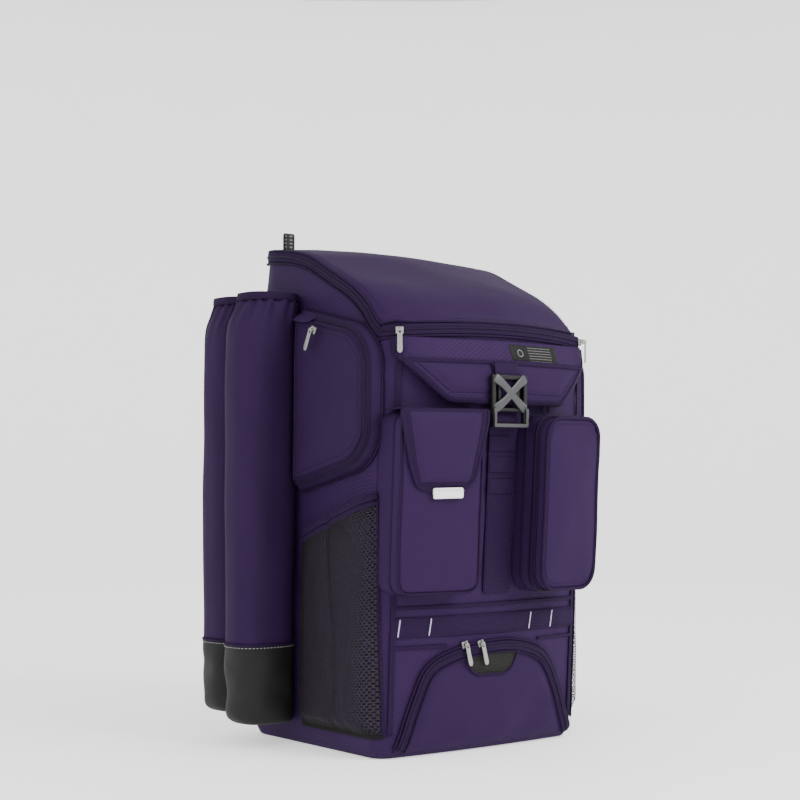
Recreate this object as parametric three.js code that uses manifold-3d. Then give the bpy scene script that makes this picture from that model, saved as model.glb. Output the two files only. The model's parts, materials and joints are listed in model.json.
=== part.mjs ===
// A bat backpack for baseball and softball gear, standing on its base with its sleeves empty.
//
// Millimetres. +Z is up, the front (flap and pockets) faces -Y, the wearer's back faces +Y, and
// the origin is the centre of the base. The main compartment is an open-topped cloth box whose
// roof falls in a curve towards the front. Its lid closes it on a zip. Two bat sleeves hang on
// each side, behind a zipped side pocket and a mesh pocket. The front carries a buckled flap,
// two box pockets, a webbing ladder, a webbing band and the arched door of the shoe space.
// Cloth is modelled as walls, so that every pocket is hollow and opens where the real one does.

import * as THREE from "three";
import { mergeVertices } from "three/addons/utils/BufferGeometryUtils.js";
import Module from "manifold-3d";

const wasm = await Module();
wasm.setup();

// Main compartment
const bodyWidth = 336;
const bodyDepth = 300;
const bodyHeight = 655;
const roofFall = 121; // from the back of the lid down to its front edge
const roofCrown = 8;
const frontBulge = 26;
const frontCorner = 18;
const backCorner = 32;
const bodyWall = 3;
const overcut = 1; // how far a hollow runs past its mouth
const lidSkirt = 5;
const zipWidth = 5;
const zipProud = 1.2;

// Cloth, webbing and the clearance that touching pieces keep
const cloth = 2;
const webbing = 2;
const gap = 0.5;

// Front flap, its patch and its buckle
const flapInset = 10; // from the body's side to the flap's end
const flapWidth = bodyWidth - 2 * flapInset;
const flapHeight = 77;
const flapFoot = 190; // width of its lower edge
const flapSide = 20; // height of its upright side edges
const flapThickness = 4;
const flapStandOff = 12;
const flapBelowZip = 8;
const patchWidth = 84;
const patchHeight = 19;
const patchOffCentre = 50;
const patchDown = 4;
const patchThickness = 1;
const closureCentre = -9;
const strapWidth = 44;
const strapAbove = 19;
const buckleWidth = 58;
const buckleHeight = 66;
const buckleRail = 6;
const buckleDepth = 7;
const crossArm = 10;
const crossDepth = 3;
const buckleDrop = 44; // from the flap's top edge to the buckle's

// Webbing ladder between the pockets, and the band under them
const ladderWidth = 46;
const ladderFoot = 200;
const ladderHeight = 236;
const rungHeight = 19;
const rungPitch = 27;
const rungFoot = 328;
const rungCount = 4;
const bandFoot = 150;
const bandHeight = 26;
const bandInset = 14;
const bandWidth = bodyWidth - 2 * bandInset;

// Front pockets. Each faces out along the bulged front, so it is turned about the vertical.
// An inset is from the body's side to the pocket's middle.
const leftPocketInset = 58;
const rightPocketInset = 89;
const leftPocket = {
  width: 118,
  height: 226,
  foot: 204,
  depth: 38,
  centre: leftPocketInset - bodyWidth / 2,
  turn: -9,
  corner: 15,
};
const rightPocket = {
  width: 104,
  height: 226,
  foot: 202,
  depth: 56,
  centre: bodyWidth / 2 - rightPocketInset,
  turn: 6,
  corner: 26,
};
const pocketRound = 9; // how far a pocket's face draws in at its edges
const pocketFlapHeight = 101;
const pocketFlapOverhang = 2;
const pullTabOffset = 5;
const pullTabWidth = 43;
const pullTabHeight = 13;

// Arched door of the shoe space, and its vent
const doorInset = 18;
const doorWidth = bodyWidth - 2 * doorInset;
const doorHeight = 132;
const doorFoot = 7;
const doorFootShare = 0.04;
const doorThickness = 3.4;
const doorProud = 1;
const ventWidth = 96;
const ventFoot = 56;
const ventHeight = 33;
const ventDown = 8;

// Bat sleeves, one behind the other on each side
const sleeveWidth = 72;
const sleeveReach = 88; // how far the front sleeve stands out
const rearSleeveReach = 76;
const sleeveFoot = 30;
const rearSleeveFoot = 38;
const sleeveTop = 588;
const bootTop = 133;
const hemHeight = 9;
const sleevePastBack = 5;
const sleevePower = 2.6;
const gatherCount = 5;

// Side pockets and mesh pockets
const sidePocketDepth = 28;
const sidePocketHeight = 238;
const sidePocketFoot = 330;
const sidePocketFront = 155; // how far in front of the pack's middle it ends
const sidePocketRound = 11;
const meshDepth = 24;
const meshFoot = 28;
const meshRear = 267; // height of the pocket's mouth at its rear edge
const meshRise = 0.353; // rise of its mouth for each millimetre forward
const meshFront = 150;
const meshWall = 1.4;
const meshRound = 18;
const bindingHeight = 8;

// Back of the pack
const padInset = 58;
const padWidth = bodyWidth - 2 * padInset;
const padCorner = 36;
const padHeight = 480;
const padFoot = 62;
const padThickness = 12;
const shoulderWidth = 64;
const shoulderThickness = 12;
const shoulderTop = 626;
const shoulderFoot = 205;
const shoulderBow = 46; // how far the strap bows out from the back wall
const strapTopOffset = 54;
const strapFootInset = 56; // from the body's side
const strapFootOffset = bodyWidth / 2 - strapFootInset;
const adjusterWidth = 25;
const adjusterFoot = 34;
const adjusterInset = 35; // from the body's side
const adjusterOffset = bodyWidth / 2 - adjusterInset;
const strapEndSlack = 3; // from the strap's end to its ladder lock
const lockWidth = 36;
const lockHeight = 24;
const lockThickness = 6;
const loopWidth = 16;
const loopHeight = 27;
const loopGap = 3;
const loopOffset = -100;

// Zip sliders and pull tabs
const tabLength = 28;
const tabWidth = 6.6;
const tabThickness = 1.6;
const pinRadius = 0.9;
const eyeRadius = 1.5;
const eyeWall = 1.1;
const earThickness = 1.6;
const earGap = 0.4;
const sliderLength = 9;
const sliderBase = 3;
const lidPullRise = 9.2; // height of the pin above the cloth
const sidePullRise = 6.4;
const doorPullRise = 6;

const halfWidth = bodyWidth / 2;
const halfDepth = bodyDepth / 2;

const cloths = {
  purple: new THREE.MeshStandardMaterial({ color: 0x3f2d5c, roughness: 0.75 }),
  smooth: new THREE.MeshStandardMaterial({ color: 0x4a3865, roughness: 0.55 }),
  webbing: new THREE.MeshStandardMaterial({ color: 0x35234f, roughness: 0.8 }),
  black: new THREE.MeshStandardMaterial({ color: 0x232425, roughness: 0.7 }),
  mesh: new THREE.MeshStandardMaterial({ color: 0x1d1e1f, roughness: 0.8 }),
  light: new THREE.MeshStandardMaterial({ color: 0xc4c4c2, roughness: 0.5 }),
  metal: new THREE.MeshStandardMaterial({ color: 0x9a9a9c, roughness: 0.35, metalness: 0.9 }),
  plastic: new THREE.MeshStandardMaterial({ color: 0x151517, roughness: 0.45 }),
};

// Solids

// A closed solid from position and index arrays, turned face outwards if it came inside out.
function solid(vertProperties, triVerts) {
  const made = new wasm.Manifold(
    new wasm.Mesh({ numProp: 3, vertProperties, triVerts }),
  );
  if (made.volume() >= 0) return made;
  for (let i = 0; i < triVerts.length; i += 3) {
    [triVerts[i + 1], triVerts[i + 2]] = [triVerts[i + 2], triVerts[i + 1]];
  }
  return new wasm.Manifold(
    new wasm.Mesh({ numProp: 3, vertProperties, triVerts }),
  );
}

// A closed solid through rings of points. Each ring has as many points as the others and is
// closed at both ends of the row by a fan about its middle.
function loft(rings) {
  const count = rings[0].length;
  const points = rings.flat();
  const faces = [];
  for (let r = 0; r + 1 < rings.length; r++) {
    for (let i = 0; i < count; i++) {
      const a = r * count + i;
      const b = r * count + ((i + 1) % count);
      faces.push(a, b, a + count, b, b + count, a + count);
    }
  }
  for (const [ring, start, flip] of [
    [rings[0], 0, true],
    [rings.at(-1), (rings.length - 1) * count, false],
  ]) {
    const middle = [0, 1, 2].map(
      (k) => ring.reduce((sum, p) => sum + p[k], 0) / count,
    );
    points.push(middle);
    for (let i = 0; i < count; i++) {
      const a = start + i;
      const b = start + ((i + 1) % count);
      faces.push(...(flip ? [b, a] : [a, b]), points.length - 1);
    }
  }
  return solid(new Float32Array(points.flat()), new Uint32Array(faces));
}

// The solid of a three.js geometry.
function solidOf(geometry) {
  const bare = geometry.clone();
  bare.deleteAttribute("normal");
  bare.deleteAttribute("uv");
  const merged = mergeVertices(bare, 1e-3);
  return solid(
    new Float32Array(merged.attributes.position.array),
    new Uint32Array(merged.index.array),
  );
}

function mesh(name, shape, material) {
  const { vertProperties, triVerts } = shape.getMesh();
  const geometry = new THREE.BufferGeometry()
    .setAttribute("position", new THREE.BufferAttribute(vertProperties, 3))
    .setIndex(new THREE.BufferAttribute(triVerts, 1));
  geometry.computeVertexNormals();
  const made = new THREE.Mesh(geometry, material);
  made.name = name;
  return made;
}

const mix = (a, b, t) => a + (b - a) * t;

// A row of a table between its rows, by the column that the table is sorted on.
function between(table, column, value) {
  const last = table.length - 2;
  const found = table.findIndex((row, i) => i > 0 && value <= row[column]) - 1;
  const i = found < 0 ? last : Math.min(found, last);
  const t = (value - table[i][column]) / (table[i + 1][column] - table[i][column]);
  const row = {};
  for (const key of Object.keys(table[0])) {
    row[key] = mix(table[i][key], table[i + 1][key], t);
  }
  return row;
}

// The outline of a convex polygon with rounded corners, moved in by inset. Each corner is
// { u, v, r }. The number of points doesn't depend on the inset.
function outline(corners, inset, steps = 4) {
  const n = corners.length;
  const twiceArea = corners.reduce((sum, p, i) => {
    const q = corners[(i + 1) % n];
    return sum + p.u * q.v - q.u * p.v;
  }, 0);
  const side = Math.sign(twiceArea);
  const edges = corners.map((p, i) => {
    const q = corners[(i + 1) % n];
    const along = new THREE.Vector2(q.u - p.u, q.v - p.v).normalize();
    const inward = new THREE.Vector2(-along.y, along.x).multiplyScalar(side);
    return { along, inward };
  });
  return corners.flatMap((p, i) => {
    const before = edges[(i + n - 1) % n];
    const after = edges[i];
    const bisector = before.inward.clone().add(after.inward).normalize();
    const lean = bisector.dot(after.inward);
    const radius = Math.max(p.r - inset, 0.5);
    const centre = new THREE.Vector2(p.u, p.v).addScaledVector(
      bisector,
      (inset + radius) / lean,
    );
    const from = Math.atan2(-before.inward.y, -before.inward.x);
    let sweep = Math.atan2(-after.inward.y, -after.inward.x) - from;
    sweep -= 2 * Math.PI * Math.round(sweep / (2 * Math.PI));
    return Array.from({ length: steps + 1 }, (_, k) => {
      const angle = from + (sweep * k) / steps;
      return [
        centre.x + radius * Math.cos(angle),
        centre.y + radius * Math.sin(angle),
      ];
    });
  });
}

// A padded or boxy form that grows out of a wall: its outline at each stage of its depth.
function pillow(corners, stages, place) {
  return loft(
    stages.map(({ depth, inset }) =>
      outline(corners, inset, 3).map(([u, v]) => place(u, v, depth)),
    ),
  );
}

// Main compartment

// Heights are shares of the body's height, widths of its half width, fronts and backs of its
// half depth, bulges of the front bulge and rounds of the back corners' radius. The front
// leans out towards the top, and the back rounds in towards it.
const bodySections = [
  { height: 0, width: 0.955, front: 0.945, back: 0.955, bulge: 0.3, round: 1 },
  { height: 0.02, width: 1, front: 0.993, back: 1, bulge: 0.42, round: 1 },
  { height: 0.14, width: 1.003, front: 1.01, back: 1, bulge: 0.66, round: 1 },
  { height: 0.26, width: 1, front: 1.03, back: 1, bulge: 0.8, round: 1 },
  { height: 0.5, width: 0.986, front: 1.075, back: 1, bulge: 0.92, round: 1.1 },
  { height: 0.68, width: 0.977, front: 1.11, back: 1, bulge: 1, round: 1.25 },
  { height: 0.8, width: 0.97, front: 1.12, back: 1, bulge: 0.94, round: 1.4 },
  { height: 1.04, width: 0.925, front: 1.12, back: 1, bulge: 0.9, round: 2.1 },
];
const bulgePower = 2.2;

function bodyAt(z) {
  const row = between(bodySections, "height", z / bodyHeight);
  return {
    width: row.width * halfWidth,
    front: row.front * halfDepth,
    back: row.back * halfDepth,
    bulge: row.bulge * frontBulge,
    round: row.round * backCorner,
  };
}

// The front surface: its y at a place across and up the front.
function frontY(x, z) {
  const { width, front, bulge } = bodyAt(z);
  const across = Math.min(Math.abs(x), width);
  const past = Math.max(0, across - (width - frontCorner));
  const corner = frontCorner - Math.sqrt(frontCorner ** 2 - past ** 2);
  return -(front - corner + bulge * (1 - (across / width) ** bulgePower));
}

function bodyRing(z, inset) {
  const s = bodyAt(z);
  const width = s.width - inset;
  const front = s.front - inset;
  const back = s.back - inset;
  const frontRadius = Math.max(frontCorner - inset, 1);
  const backRadius = Math.max(s.round - inset, 1);
  const points = [];
  const arc = (cx, cy, radius, from) => {
    for (let k = 0; k <= 3; k++) {
      const angle = from + (k * Math.PI) / 6;
      points.push([cx + radius * Math.cos(angle), cy + radius * Math.sin(angle)]);
    }
  };
  const inner = width - frontRadius;
  const frontSteps = 8;
  arc(-inner, -front + frontRadius, frontRadius, Math.PI);
  for (let k = 1; k < frontSteps; k++) {
    points.push([mix(-inner, inner, k / frontSteps), -front]);
  }
  arc(inner, -front + frontRadius, frontRadius, -Math.PI / 2);
  arc(width - backRadius, back - backRadius, backRadius, 0);
  arc(-width + backRadius, back - backRadius, backRadius, Math.PI / 2);
  return points.map(([x, y]) => {
    const bulge = y < 0 ? s.bulge * (1 - (Math.abs(x) / width) ** bulgePower) : 0;
    return [x, y - bulge, z];
  });
}

// Everything inside the body's outline, moved in by inset, from a floor upwards.
function bodyForm(inset, floor = 0) {
  const heights = bodySections.map((row) => row.height * bodyHeight);
  const above = heights.filter((z) => z > floor + 1);
  return loft([floor, ...above].map((z) => bodyRing(z, inset)));
}

// The roof from the back of the lid to its front edge. Depths are shares of the way forward,
// and heights are shares of the roof's fall.
const roofSections = [
  { depth: 0, height: 1 },
  { depth: 0.18, height: 0.985 },
  { depth: 0.33, height: 0.935 },
  { depth: 0.45, height: 0.86 },
  { depth: 0.6, height: 0.675 },
  { depth: 0.77, height: 0.47 },
  { depth: 0.88, height: 0.29 },
  { depth: 0.953, height: 0.1 },
  { depth: 1, height: 0 },
];
const roofEdge = bodyHeight - roofFall;
const roofMargin = 60;

// Everything under the roof, lowered by drop.
function underRoof(drop) {
  const stations = [-1.2, -0.92, -0.5, 0, 0.5, 0.92, 1.2];
  return loft(
    stations.map((share) => {
      const x = share * halfWidth;
      const crown = roofCrown * (1 - Math.min(1, share * share));
      const front = frontY(x, roofEdge);
      const top = roofSections.map(({ depth, height }) => [
        x,
        mix(halfDepth, front, depth),
        roofEdge + height * roofFall + crown - drop,
      ]);
      const [, frontEnd, edgeHeight] = top.at(-1);
      const [, , backHeight] = top[0];
      return [
        [x, halfDepth + roofMargin, backHeight],
        ...top,
        [x, frontEnd - roofMargin, edgeHeight - roofMargin],
        [x, frontEnd - roofMargin, -roofMargin],
        [x, halfDepth + roofMargin, -roofMargin],
      ];
    }),
  );
}

// A cloth sheet that follows the front, from inner (its distance in front of the body) to
// inner + thickness. Its lower and upper edges are functions of the place across.
// Its columns crowd towards its ends, where the front turns round the corners.
function frontSheet({ from, to, steps, low, high, inner, thickness, rows = 3 }) {
  const columns = Array.from({ length: steps + 1 }, (_, i) => {
    const x = mix(from, to, (1 - Math.cos((Math.PI * i) / steps)) / 2);
    return [x, low(x), high(x)];
  });
  return loft(
    columns.map(([x, bottom, top]) => {
      const heights = Array.from({ length: rows + 1 }, (_, k) => mix(bottom, top, k / rows));
      const back = heights.map((z) => [x, frontY(x, z) - inner(x, z), z]);
      const face = heights.map((z) => [x, frontY(x, z) - inner(x, z) - thickness, z]);
      return [...back, ...face.reverse()];
    }),
  );
}

// The arch of the door, as shares of its half width and of its height.
const doorArch = [
  { across: -0.955, height: doorFootShare },
  { across: -0.907, height: 0.18 },
  { across: -0.813, height: 0.5 },
  { across: -0.687, height: 0.795 },
  { across: -0.427, height: 0.94 },
  { across: -0.07, height: 1 },
  { across: 0.287, height: 0.99 },
  { across: 0.62, height: 0.856 },
  { across: 0.827, height: 0.545 },
  { across: 0.97, height: 0.18 },
  { across: 1.03, height: doorFootShare },
];

function doorSheet(margin, inner, thickness) {
  const steps = 24;
  const arch = new THREE.SplineCurve(
    doorArch.map(
      (row) => new THREE.Vector2((row.across * doorWidth) / 2, doorFoot + row.height * doorHeight),
    ),
  );
  return loft(
    Array.from({ length: steps + 1 }, (_, i) => {
      const at = arch.getPointAt(i / steps);
      const along = arch.getTangentAt(i / steps);
      const x = at.x - along.y * margin;
      const top = at.y + along.x * margin;
      const bottom = doorFoot - margin;
      const heights = [0, 1 / 3, 2 / 3, 1].map((share) => mix(bottom, top, share));
      const back = heights.map((z) => [x, frontY(x, z) - inner, z]);
      const face = heights.map((z) => [x, frontY(x, z) - inner - thickness, z]);
      return [...back, ...face.reverse()];
    }),
  );
}

const zipLine = roofEdge - lidSkirt;
const bodyOutside = bodyForm(0);
const bodyClear = bodyForm(-gap);

function mainCompartment() {
  const inside = bodyForm(bodyWall, bodyWall);
  const cutDepth = 4 * bodyWall;
  const doorway = doorSheet(gap, -cutDepth, 2 * cutDepth);
  const shell = bodyOutside
    .intersect(underRoof(lidSkirt + gap))
    .subtract(inside)
    .subtract(doorway);
  const lid = bodyOutside
    .intersect(underRoof(0))
    .subtract(underRoof(lidSkirt))
    .subtract(bodyForm(bodyWall).intersect(underRoof(bodyWall)));
  const zip = bodyForm(-gap - zipProud)
    .subtract(bodyClear)
    .intersect(underRoof(lidSkirt + gap / 2 - zipWidth / 2))
    .subtract(underRoof(lidSkirt + gap / 2 + zipWidth / 2))
    .subtract(solidOf(backCut()));
  return [
    mesh("body_shell", shell, cloths.purple),
    mesh("lid_panel", lid, cloths.smooth),
    mesh("lid_zip", zip, cloths.webbing),
    mesh("bottom_door", doorSheet(0, doorProud - doorThickness, doorThickness), cloths.smooth),
    vent(),
  ];
}

// The zip stops where the lid hinges, so its band is cut away round the back.
function backCut() {
  const depth = bodyDepth;
  return new THREE.BoxGeometry(2 * bodyWidth, depth, bodyHeight).translate(
    0,
    halfDepth - backCorner + depth / 2,
    bodyHeight,
  );
}

function vent() {
  const top = doorFoot + doorHeight - ventDown;
  const half = ventWidth / 2;
  const slope = ventHeight / ((ventWidth - ventFoot) / 2);
  const foot = (x) => top - Math.min(ventHeight, 1 + slope * (half - Math.abs(x)));
  const sheet = frontSheet({
    from: -half,
    to: half,
    steps: 12,
    low: foot,
    high: () => top,
    inner: () => doorProud + gap,
    thickness: cloth / 2,
    rows: 1,
  });
  return mesh("vent_mesh", sheet, cloths.mesh);
}

// Front flap, patch, straps and buckle

const flapTop = zipLine - flapBelowZip;
const flapInner = (x, z) => gap + (flapStandOff * (flapTop - z)) / flapHeight;
const flapFace = (x, z) => flapInner(x, z) + flapThickness + gap;

function frontFlap() {
  const foot = flapTop - flapHeight;
  const slope = (flapHeight - flapSide) / ((flapWidth - flapFoot) / 2);
  const low = (x) => foot + Math.max(0, Math.abs(x) - flapFoot / 2) * slope;
  return mesh(
    "front_flap",
    frontSheet({
      from: -flapWidth / 2,
      to: flapWidth / 2,
      steps: 20,
      low,
      high: () => flapTop,
      inner: flapInner,
      thickness: flapThickness,
    }),
    cloths.purple,
  );
}

function labelPatch() {
  const top = flapTop - patchDown;
  return mesh(
    "label_patch",
    frontSheet({
      from: patchOffCentre - patchWidth / 2,
      to: patchOffCentre + patchWidth / 2,
      steps: 5,
      low: () => top - patchHeight,
      high: () => top,
      inner: flapFace,
      thickness: patchThickness,
      rows: 1,
    }),
    cloths.black,
  );
}

const buckleTop = flapTop - buckleDrop;
const buckleFoot = buckleTop - buckleHeight;
const buckleBar = 6; // how far the straps reach under the buckle's end bars
const buckleBehind = flapStandOff + flapThickness + 2.5 * gap; // the body to the buckle's back

// The upper strap lies on the flap. The lower one comes off the front behind the flap and
// leans out to the buckle's lower bar, clear of the webbing ladder.
function closureStraps() {
  const strap = (name, low, high, inner) =>
    mesh(
      name,
      frontSheet({
        from: closureCentre - strapWidth / 2,
        to: closureCentre + strapWidth / 2,
        steps: 2,
        low: () => low,
        high: () => high,
        inner,
        thickness: webbing,
        rows: 2,
      }),
      cloths.webbing,
    );
  const upperFoot = buckleTop - 2 * buckleRail - buckleBar;
  const lowerFoot = buckleFoot + buckleRail;
  const lowerTop = flapTop - flapHeight + buckleRail;
  const atBuckle = buckleBehind - gap - webbing;
  const lowerInner = (x, z) => mix(gap, atBuckle, (lowerTop - z) / (lowerTop - lowerFoot));
  return [
    strap("closure_strap_upper", upperFoot, buckleTop + strapAbove, flapFace),
    strap("closure_strap_lower", lowerFoot, lowerTop, lowerInner),
  ];
}

// A flat bar of the buckle's cross, centred at its middle and turned in the buckle's plane.
function crossBar(length, turn) {
  return new THREE.BoxGeometry(length, crossDepth, crossArm).rotateY(turn);
}

function buckle() {
  const holder = new THREE.Group();
  const z = (buckleTop + buckleFoot) / 2;
  holder.position.set(closureCentre, frontY(0, z) - buckleBehind - buckleDepth / 2, z);

  const frame = new THREE.Shape()
    .moveTo(-buckleWidth / 2, -buckleHeight / 2)
    .lineTo(buckleWidth / 2, -buckleHeight / 2)
    .lineTo(buckleWidth / 2, buckleHeight / 2)
    .lineTo(-buckleWidth / 2, buckleHeight / 2);
  const windowHalf = buckleWidth / 2 - buckleRail;
  const windowTop = buckleHeight / 2 - buckleRail;
  frame.holes.push(
    new THREE.Path()
      .moveTo(-windowHalf, -windowTop)
      .lineTo(-windowHalf, windowTop)
      .lineTo(windowHalf, windowTop)
      .lineTo(windowHalf, -windowTop),
  );
  const upright = (shape, depth) =>
    new THREE.ExtrudeGeometry(shape, { depth, bevelEnabled: false })
      .translate(0, 0, -depth / 2)
      .rotateX(Math.PI / 2);
  const middleBar = new THREE.BoxGeometry(buckleWidth - buckleRail, buckleDepth, buckleRail);
  const body = solidOf(upright(frame, buckleDepth)).add(solidOf(middleBar));

  // The cross spans the upper part, and its ring carries the strap at the foot.
  const ringHeight = buckleHeight / 3;
  const crossHeight = buckleHeight - ringHeight;
  const crossMiddle = (buckleHeight - crossHeight) / 2;
  const turn = Math.atan2(crossHeight - crossArm, buckleWidth - crossArm);
  const length = Math.hypot(crossHeight, buckleWidth) - crossArm;
  const forward = -(buckleDepth / 2 + crossDepth / 2 + gap);
  const ringBar = crossArm / 2;
  const ringZ = -buckleHeight / 2 + ringHeight / 2;
  const ring = [
    new THREE.BoxGeometry(buckleWidth, crossDepth, ringBar).translate(
      0,
      forward,
      -buckleHeight / 2 + ringBar / 2,
    ),
    ...[-1, 1].map((side) =>
      new THREE.BoxGeometry(ringBar, crossDepth, ringHeight + crossArm).translate(
        (side * (buckleWidth - ringBar)) / 2,
        forward,
        ringZ + crossArm / 2,
      ),
    ),
  ];
  const arms = [turn, -turn].map((angle) =>
    crossBar(length, angle).translate(0, forward, crossMiddle),
  );
  const cross = [...arms, ...ring]
    .map(solidOf)
    .reduce((whole, piece) => whole.add(piece));
  holder.add(
    mesh("buckle_body", body, cloths.plastic),
    mesh("buckle_cross", cross, cloths.metal),
  );
  return holder;
}

// Webbing ladder and band

function ladder() {
  const onFront = (name, low, high, from, to, inner, steps, rows) =>
    mesh(
      name,
      frontSheet({
        from,
        to,
        steps,
        low: () => low,
        high: () => high,
        inner: () => inner,
        thickness: webbing,
        rows,
      }),
      cloths.webbing,
    );
  const half = ladderWidth / 2;
  const upright = onFront(
    "centre_webbing",
    ladderFoot,
    ladderFoot + ladderHeight,
    -half,
    half,
    gap,
    3,
    3,
  );
  const rungs = Array.from({ length: rungCount }, (_, i) => {
    const foot = rungFoot + i * rungPitch;
    const inner = 2 * gap + webbing;
    return onFront(`webbing_rung_${i + 1}`, foot, foot + rungHeight, -half, half, inner, 3, 1);
  });
  const band = onFront(
    "band_webbing",
    bandFoot,
    bandFoot + bandHeight,
    -bandWidth / 2,
    bandWidth / 2,
    gap,
    14,
    2,
  );
  return [upright, ...rungs, band];
}

// Front pockets

// Places a pocket's own u (across), v (up) and depth (out of the front) in the pack.
function pocketPlace({ centre, turn }) {
  const angle = (turn * Math.PI) / 180;
  const across = [Math.cos(angle), Math.sin(angle)];
  const out = [Math.sin(angle), -Math.cos(angle)];
  return (u, v, depth) => {
    const start = frontY(centre, v);
    return [
      centre + u * across[0] + depth * out[0],
      start + u * across[1] + depth * out[1],
      v,
    ];
  };
}

function pocketCorners({ width, height, foot, corner }) {
  const half = width / 2;
  const top = foot + height;
  return [
    { u: -half, v: foot, r: corner },
    { u: half, v: foot, r: corner },
    { u: half, v: top, r: corner },
    { u: -half, v: top, r: corner },
  ];
}

// A box pocket's shell. Its back is the pack's own front, so it is open there.
function boxPocket(size, openTop) {
  const place = pocketPlace(size);
  const corners = pocketCorners(size);
  const { depth } = size;
  const root = -depth / 2;
  const form = (inset) =>
    pillow(
      corners,
      [
        { depth: root, inset: inset + pocketRound / 3 },
        { depth: 0.5 * depth, inset },
        { depth: 0.82 * depth - inset, inset },
        { depth: 0.95 * depth - inset, inset: inset + pocketRound / 3 },
        { depth: depth - inset, inset: inset + pocketRound },
      ],
      place,
    );
  const shell = form(0).subtract(form(cloth)).subtract(bodyClear);
  if (!openTop) return shell;
  const mouth = new THREE.BoxGeometry(bodyWidth, bodyDepth, 2 * size.corner).translate(
    size.centre,
    frontY(size.centre, size.foot) - size.depth / 2,
    size.foot + size.height,
  );
  return shell.subtract(solidOf(mouth));
}

// The pocket flap covers the mouth, wraps over the top and tapers to its lower edge.
// Places across are shares of the pocket's half width and heights are shares of the flap's.
const pocketFlapEdge = [
  { across: -1.02, foot: 0.94 },
  { across: -0.78, foot: 0.3 },
  { across: -0.6, foot: 0.06 },
  { across: -0.45, foot: 0 },
  { across: 0.42, foot: 0 },
  { across: 0.6, foot: 0.05 },
  { across: 0.76, foot: 0.16 },
  { across: 0.92, foot: 0.55 },
  { across: 1.02, foot: 0.86 },
];

function leftPocketPieces() {
  const place = pocketPlace(leftPocket);
  const { depth, width, height, foot } = leftPocket;
  const top = foot + height + pocketFlapOverhang;
  const low = top - pocketFlapHeight;
  const face = depth + gap;
  const flap = loft(
    pocketFlapEdge.map((row) => {
      const u = row.across * (width / 2);
      const bottom = mix(low, top, row.foot);
      const skin = (d) => [mix(bottom, top, 0), mix(bottom, top, 0.5), top].map((v) => place(u, v, d));
      return [...skin(face), ...skin(face + cloth).reverse()];
    }),
  );
  const cover = loft(
    [-1.02, 0, 1.02].map((share) => {
      const u = share * (width / 2);
      return [
        place(u, top + gap, -frontCorner / 2),
        place(u, top + gap, face + cloth),
        place(u, top + gap + cloth, face + cloth),
        place(u, top + gap + cloth, -frontCorner / 2),
      ];
    }),
  ).subtract(bodyClear);
  const join = loft(
    [-1.02, 0, 1.02].map((share) => {
      const u = share * (width / 2);
      return [
        place(u, top - gap, face),
        place(u, top - gap, face + cloth),
        place(u, top + gap + cloth, face + cloth),
        place(u, top + gap + cloth, face),
      ];
    }),
  );
  const tab = loft(
    [-1, 1].map((side) => {
      const u = pullTabOffset + (side * pullTabWidth) / 2;
      const v = low + pullTabHeight / 3;
      return [
        place(u, v, face + cloth + gap),
        place(u, v, face + 2 * cloth + gap),
        place(u, v - pullTabHeight, face + 2 * cloth + gap),
        place(u, v - pullTabHeight, face + cloth + gap),
      ];
    }),
  );
  return [
    mesh("left_pocket", boxPocket(leftPocket, true), cloths.smooth),
    mesh("left_pocket_flap", flap.add(cover).add(join), cloths.smooth),
    mesh("pocket_pull_tab", tab, cloths.light),
  ];
}

// Sides

const sleeveRear = halfDepth + sleevePastBack - sleeveWidth / 2;
const sleevePitch = sleeveWidth + 2 * gap;
const sleeves = [
  { name: "rear", centre: sleeveRear, reach: rearSleeveReach, foot: rearSleeveFoot },
  { name: "front", centre: sleeveRear - sleevePitch, reach: sleeveReach, foot: sleeveFoot },
];
const sidesEnd = sleeveRear - sleevePitch - sleeveWidth / 2 - gap;

// Heights are shares of the sleeve's height above its boot, girths of its full girth. The hem
// is drawn in by its elastic, and the cloth gathers below it.
const sleeveSections = [
  { height: 0, girth: 1, gather: 0 },
  { height: 0.875, girth: 0.985, gather: 0.1 },
  { height: 1, girth: 0.92, gather: 1 },
];
const bootSections = [
  { height: 0, girth: 0.8 },
  { height: 0.06, girth: 0.93 },
  { height: 0.25, girth: 1 },
  { height: 1, girth: 1.01 },
];
const hemGirth = 0.94;
const gatherDepth = 1.6;

// One ring of a sleeve. It stays against the pack's side, whatever its girth, and its outer
// side hangs plumb.
function sleeveRing(side, { centre, reach }, z, girth, gather, inset) {
  const count = 4 * gatherCount;
  const near = bodyAt(z).width + gap;
  const far = bodyAt(bootTop).width + gap + reach * girth;
  const rx = (far - near) / 2 - inset;
  const ry = (sleeveWidth / 2) * girth - inset;
  const cx = (near + far) / 2;
  return Array.from({ length: count }, (_, i) => {
    const angle = (2 * Math.PI * i) / count;
    const c = Math.cos(angle);
    const s = Math.sin(angle);
    const dent = i % 4 === 2 ? gather * gatherDepth : 0;
    const bow = (v) => Math.sign(v) * Math.abs(v) ** (2 / sleevePower);
    return [side * (cx + bow(c) * (rx - dent)), centre + bow(s) * (ry - dent), z];
  });
}

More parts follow.
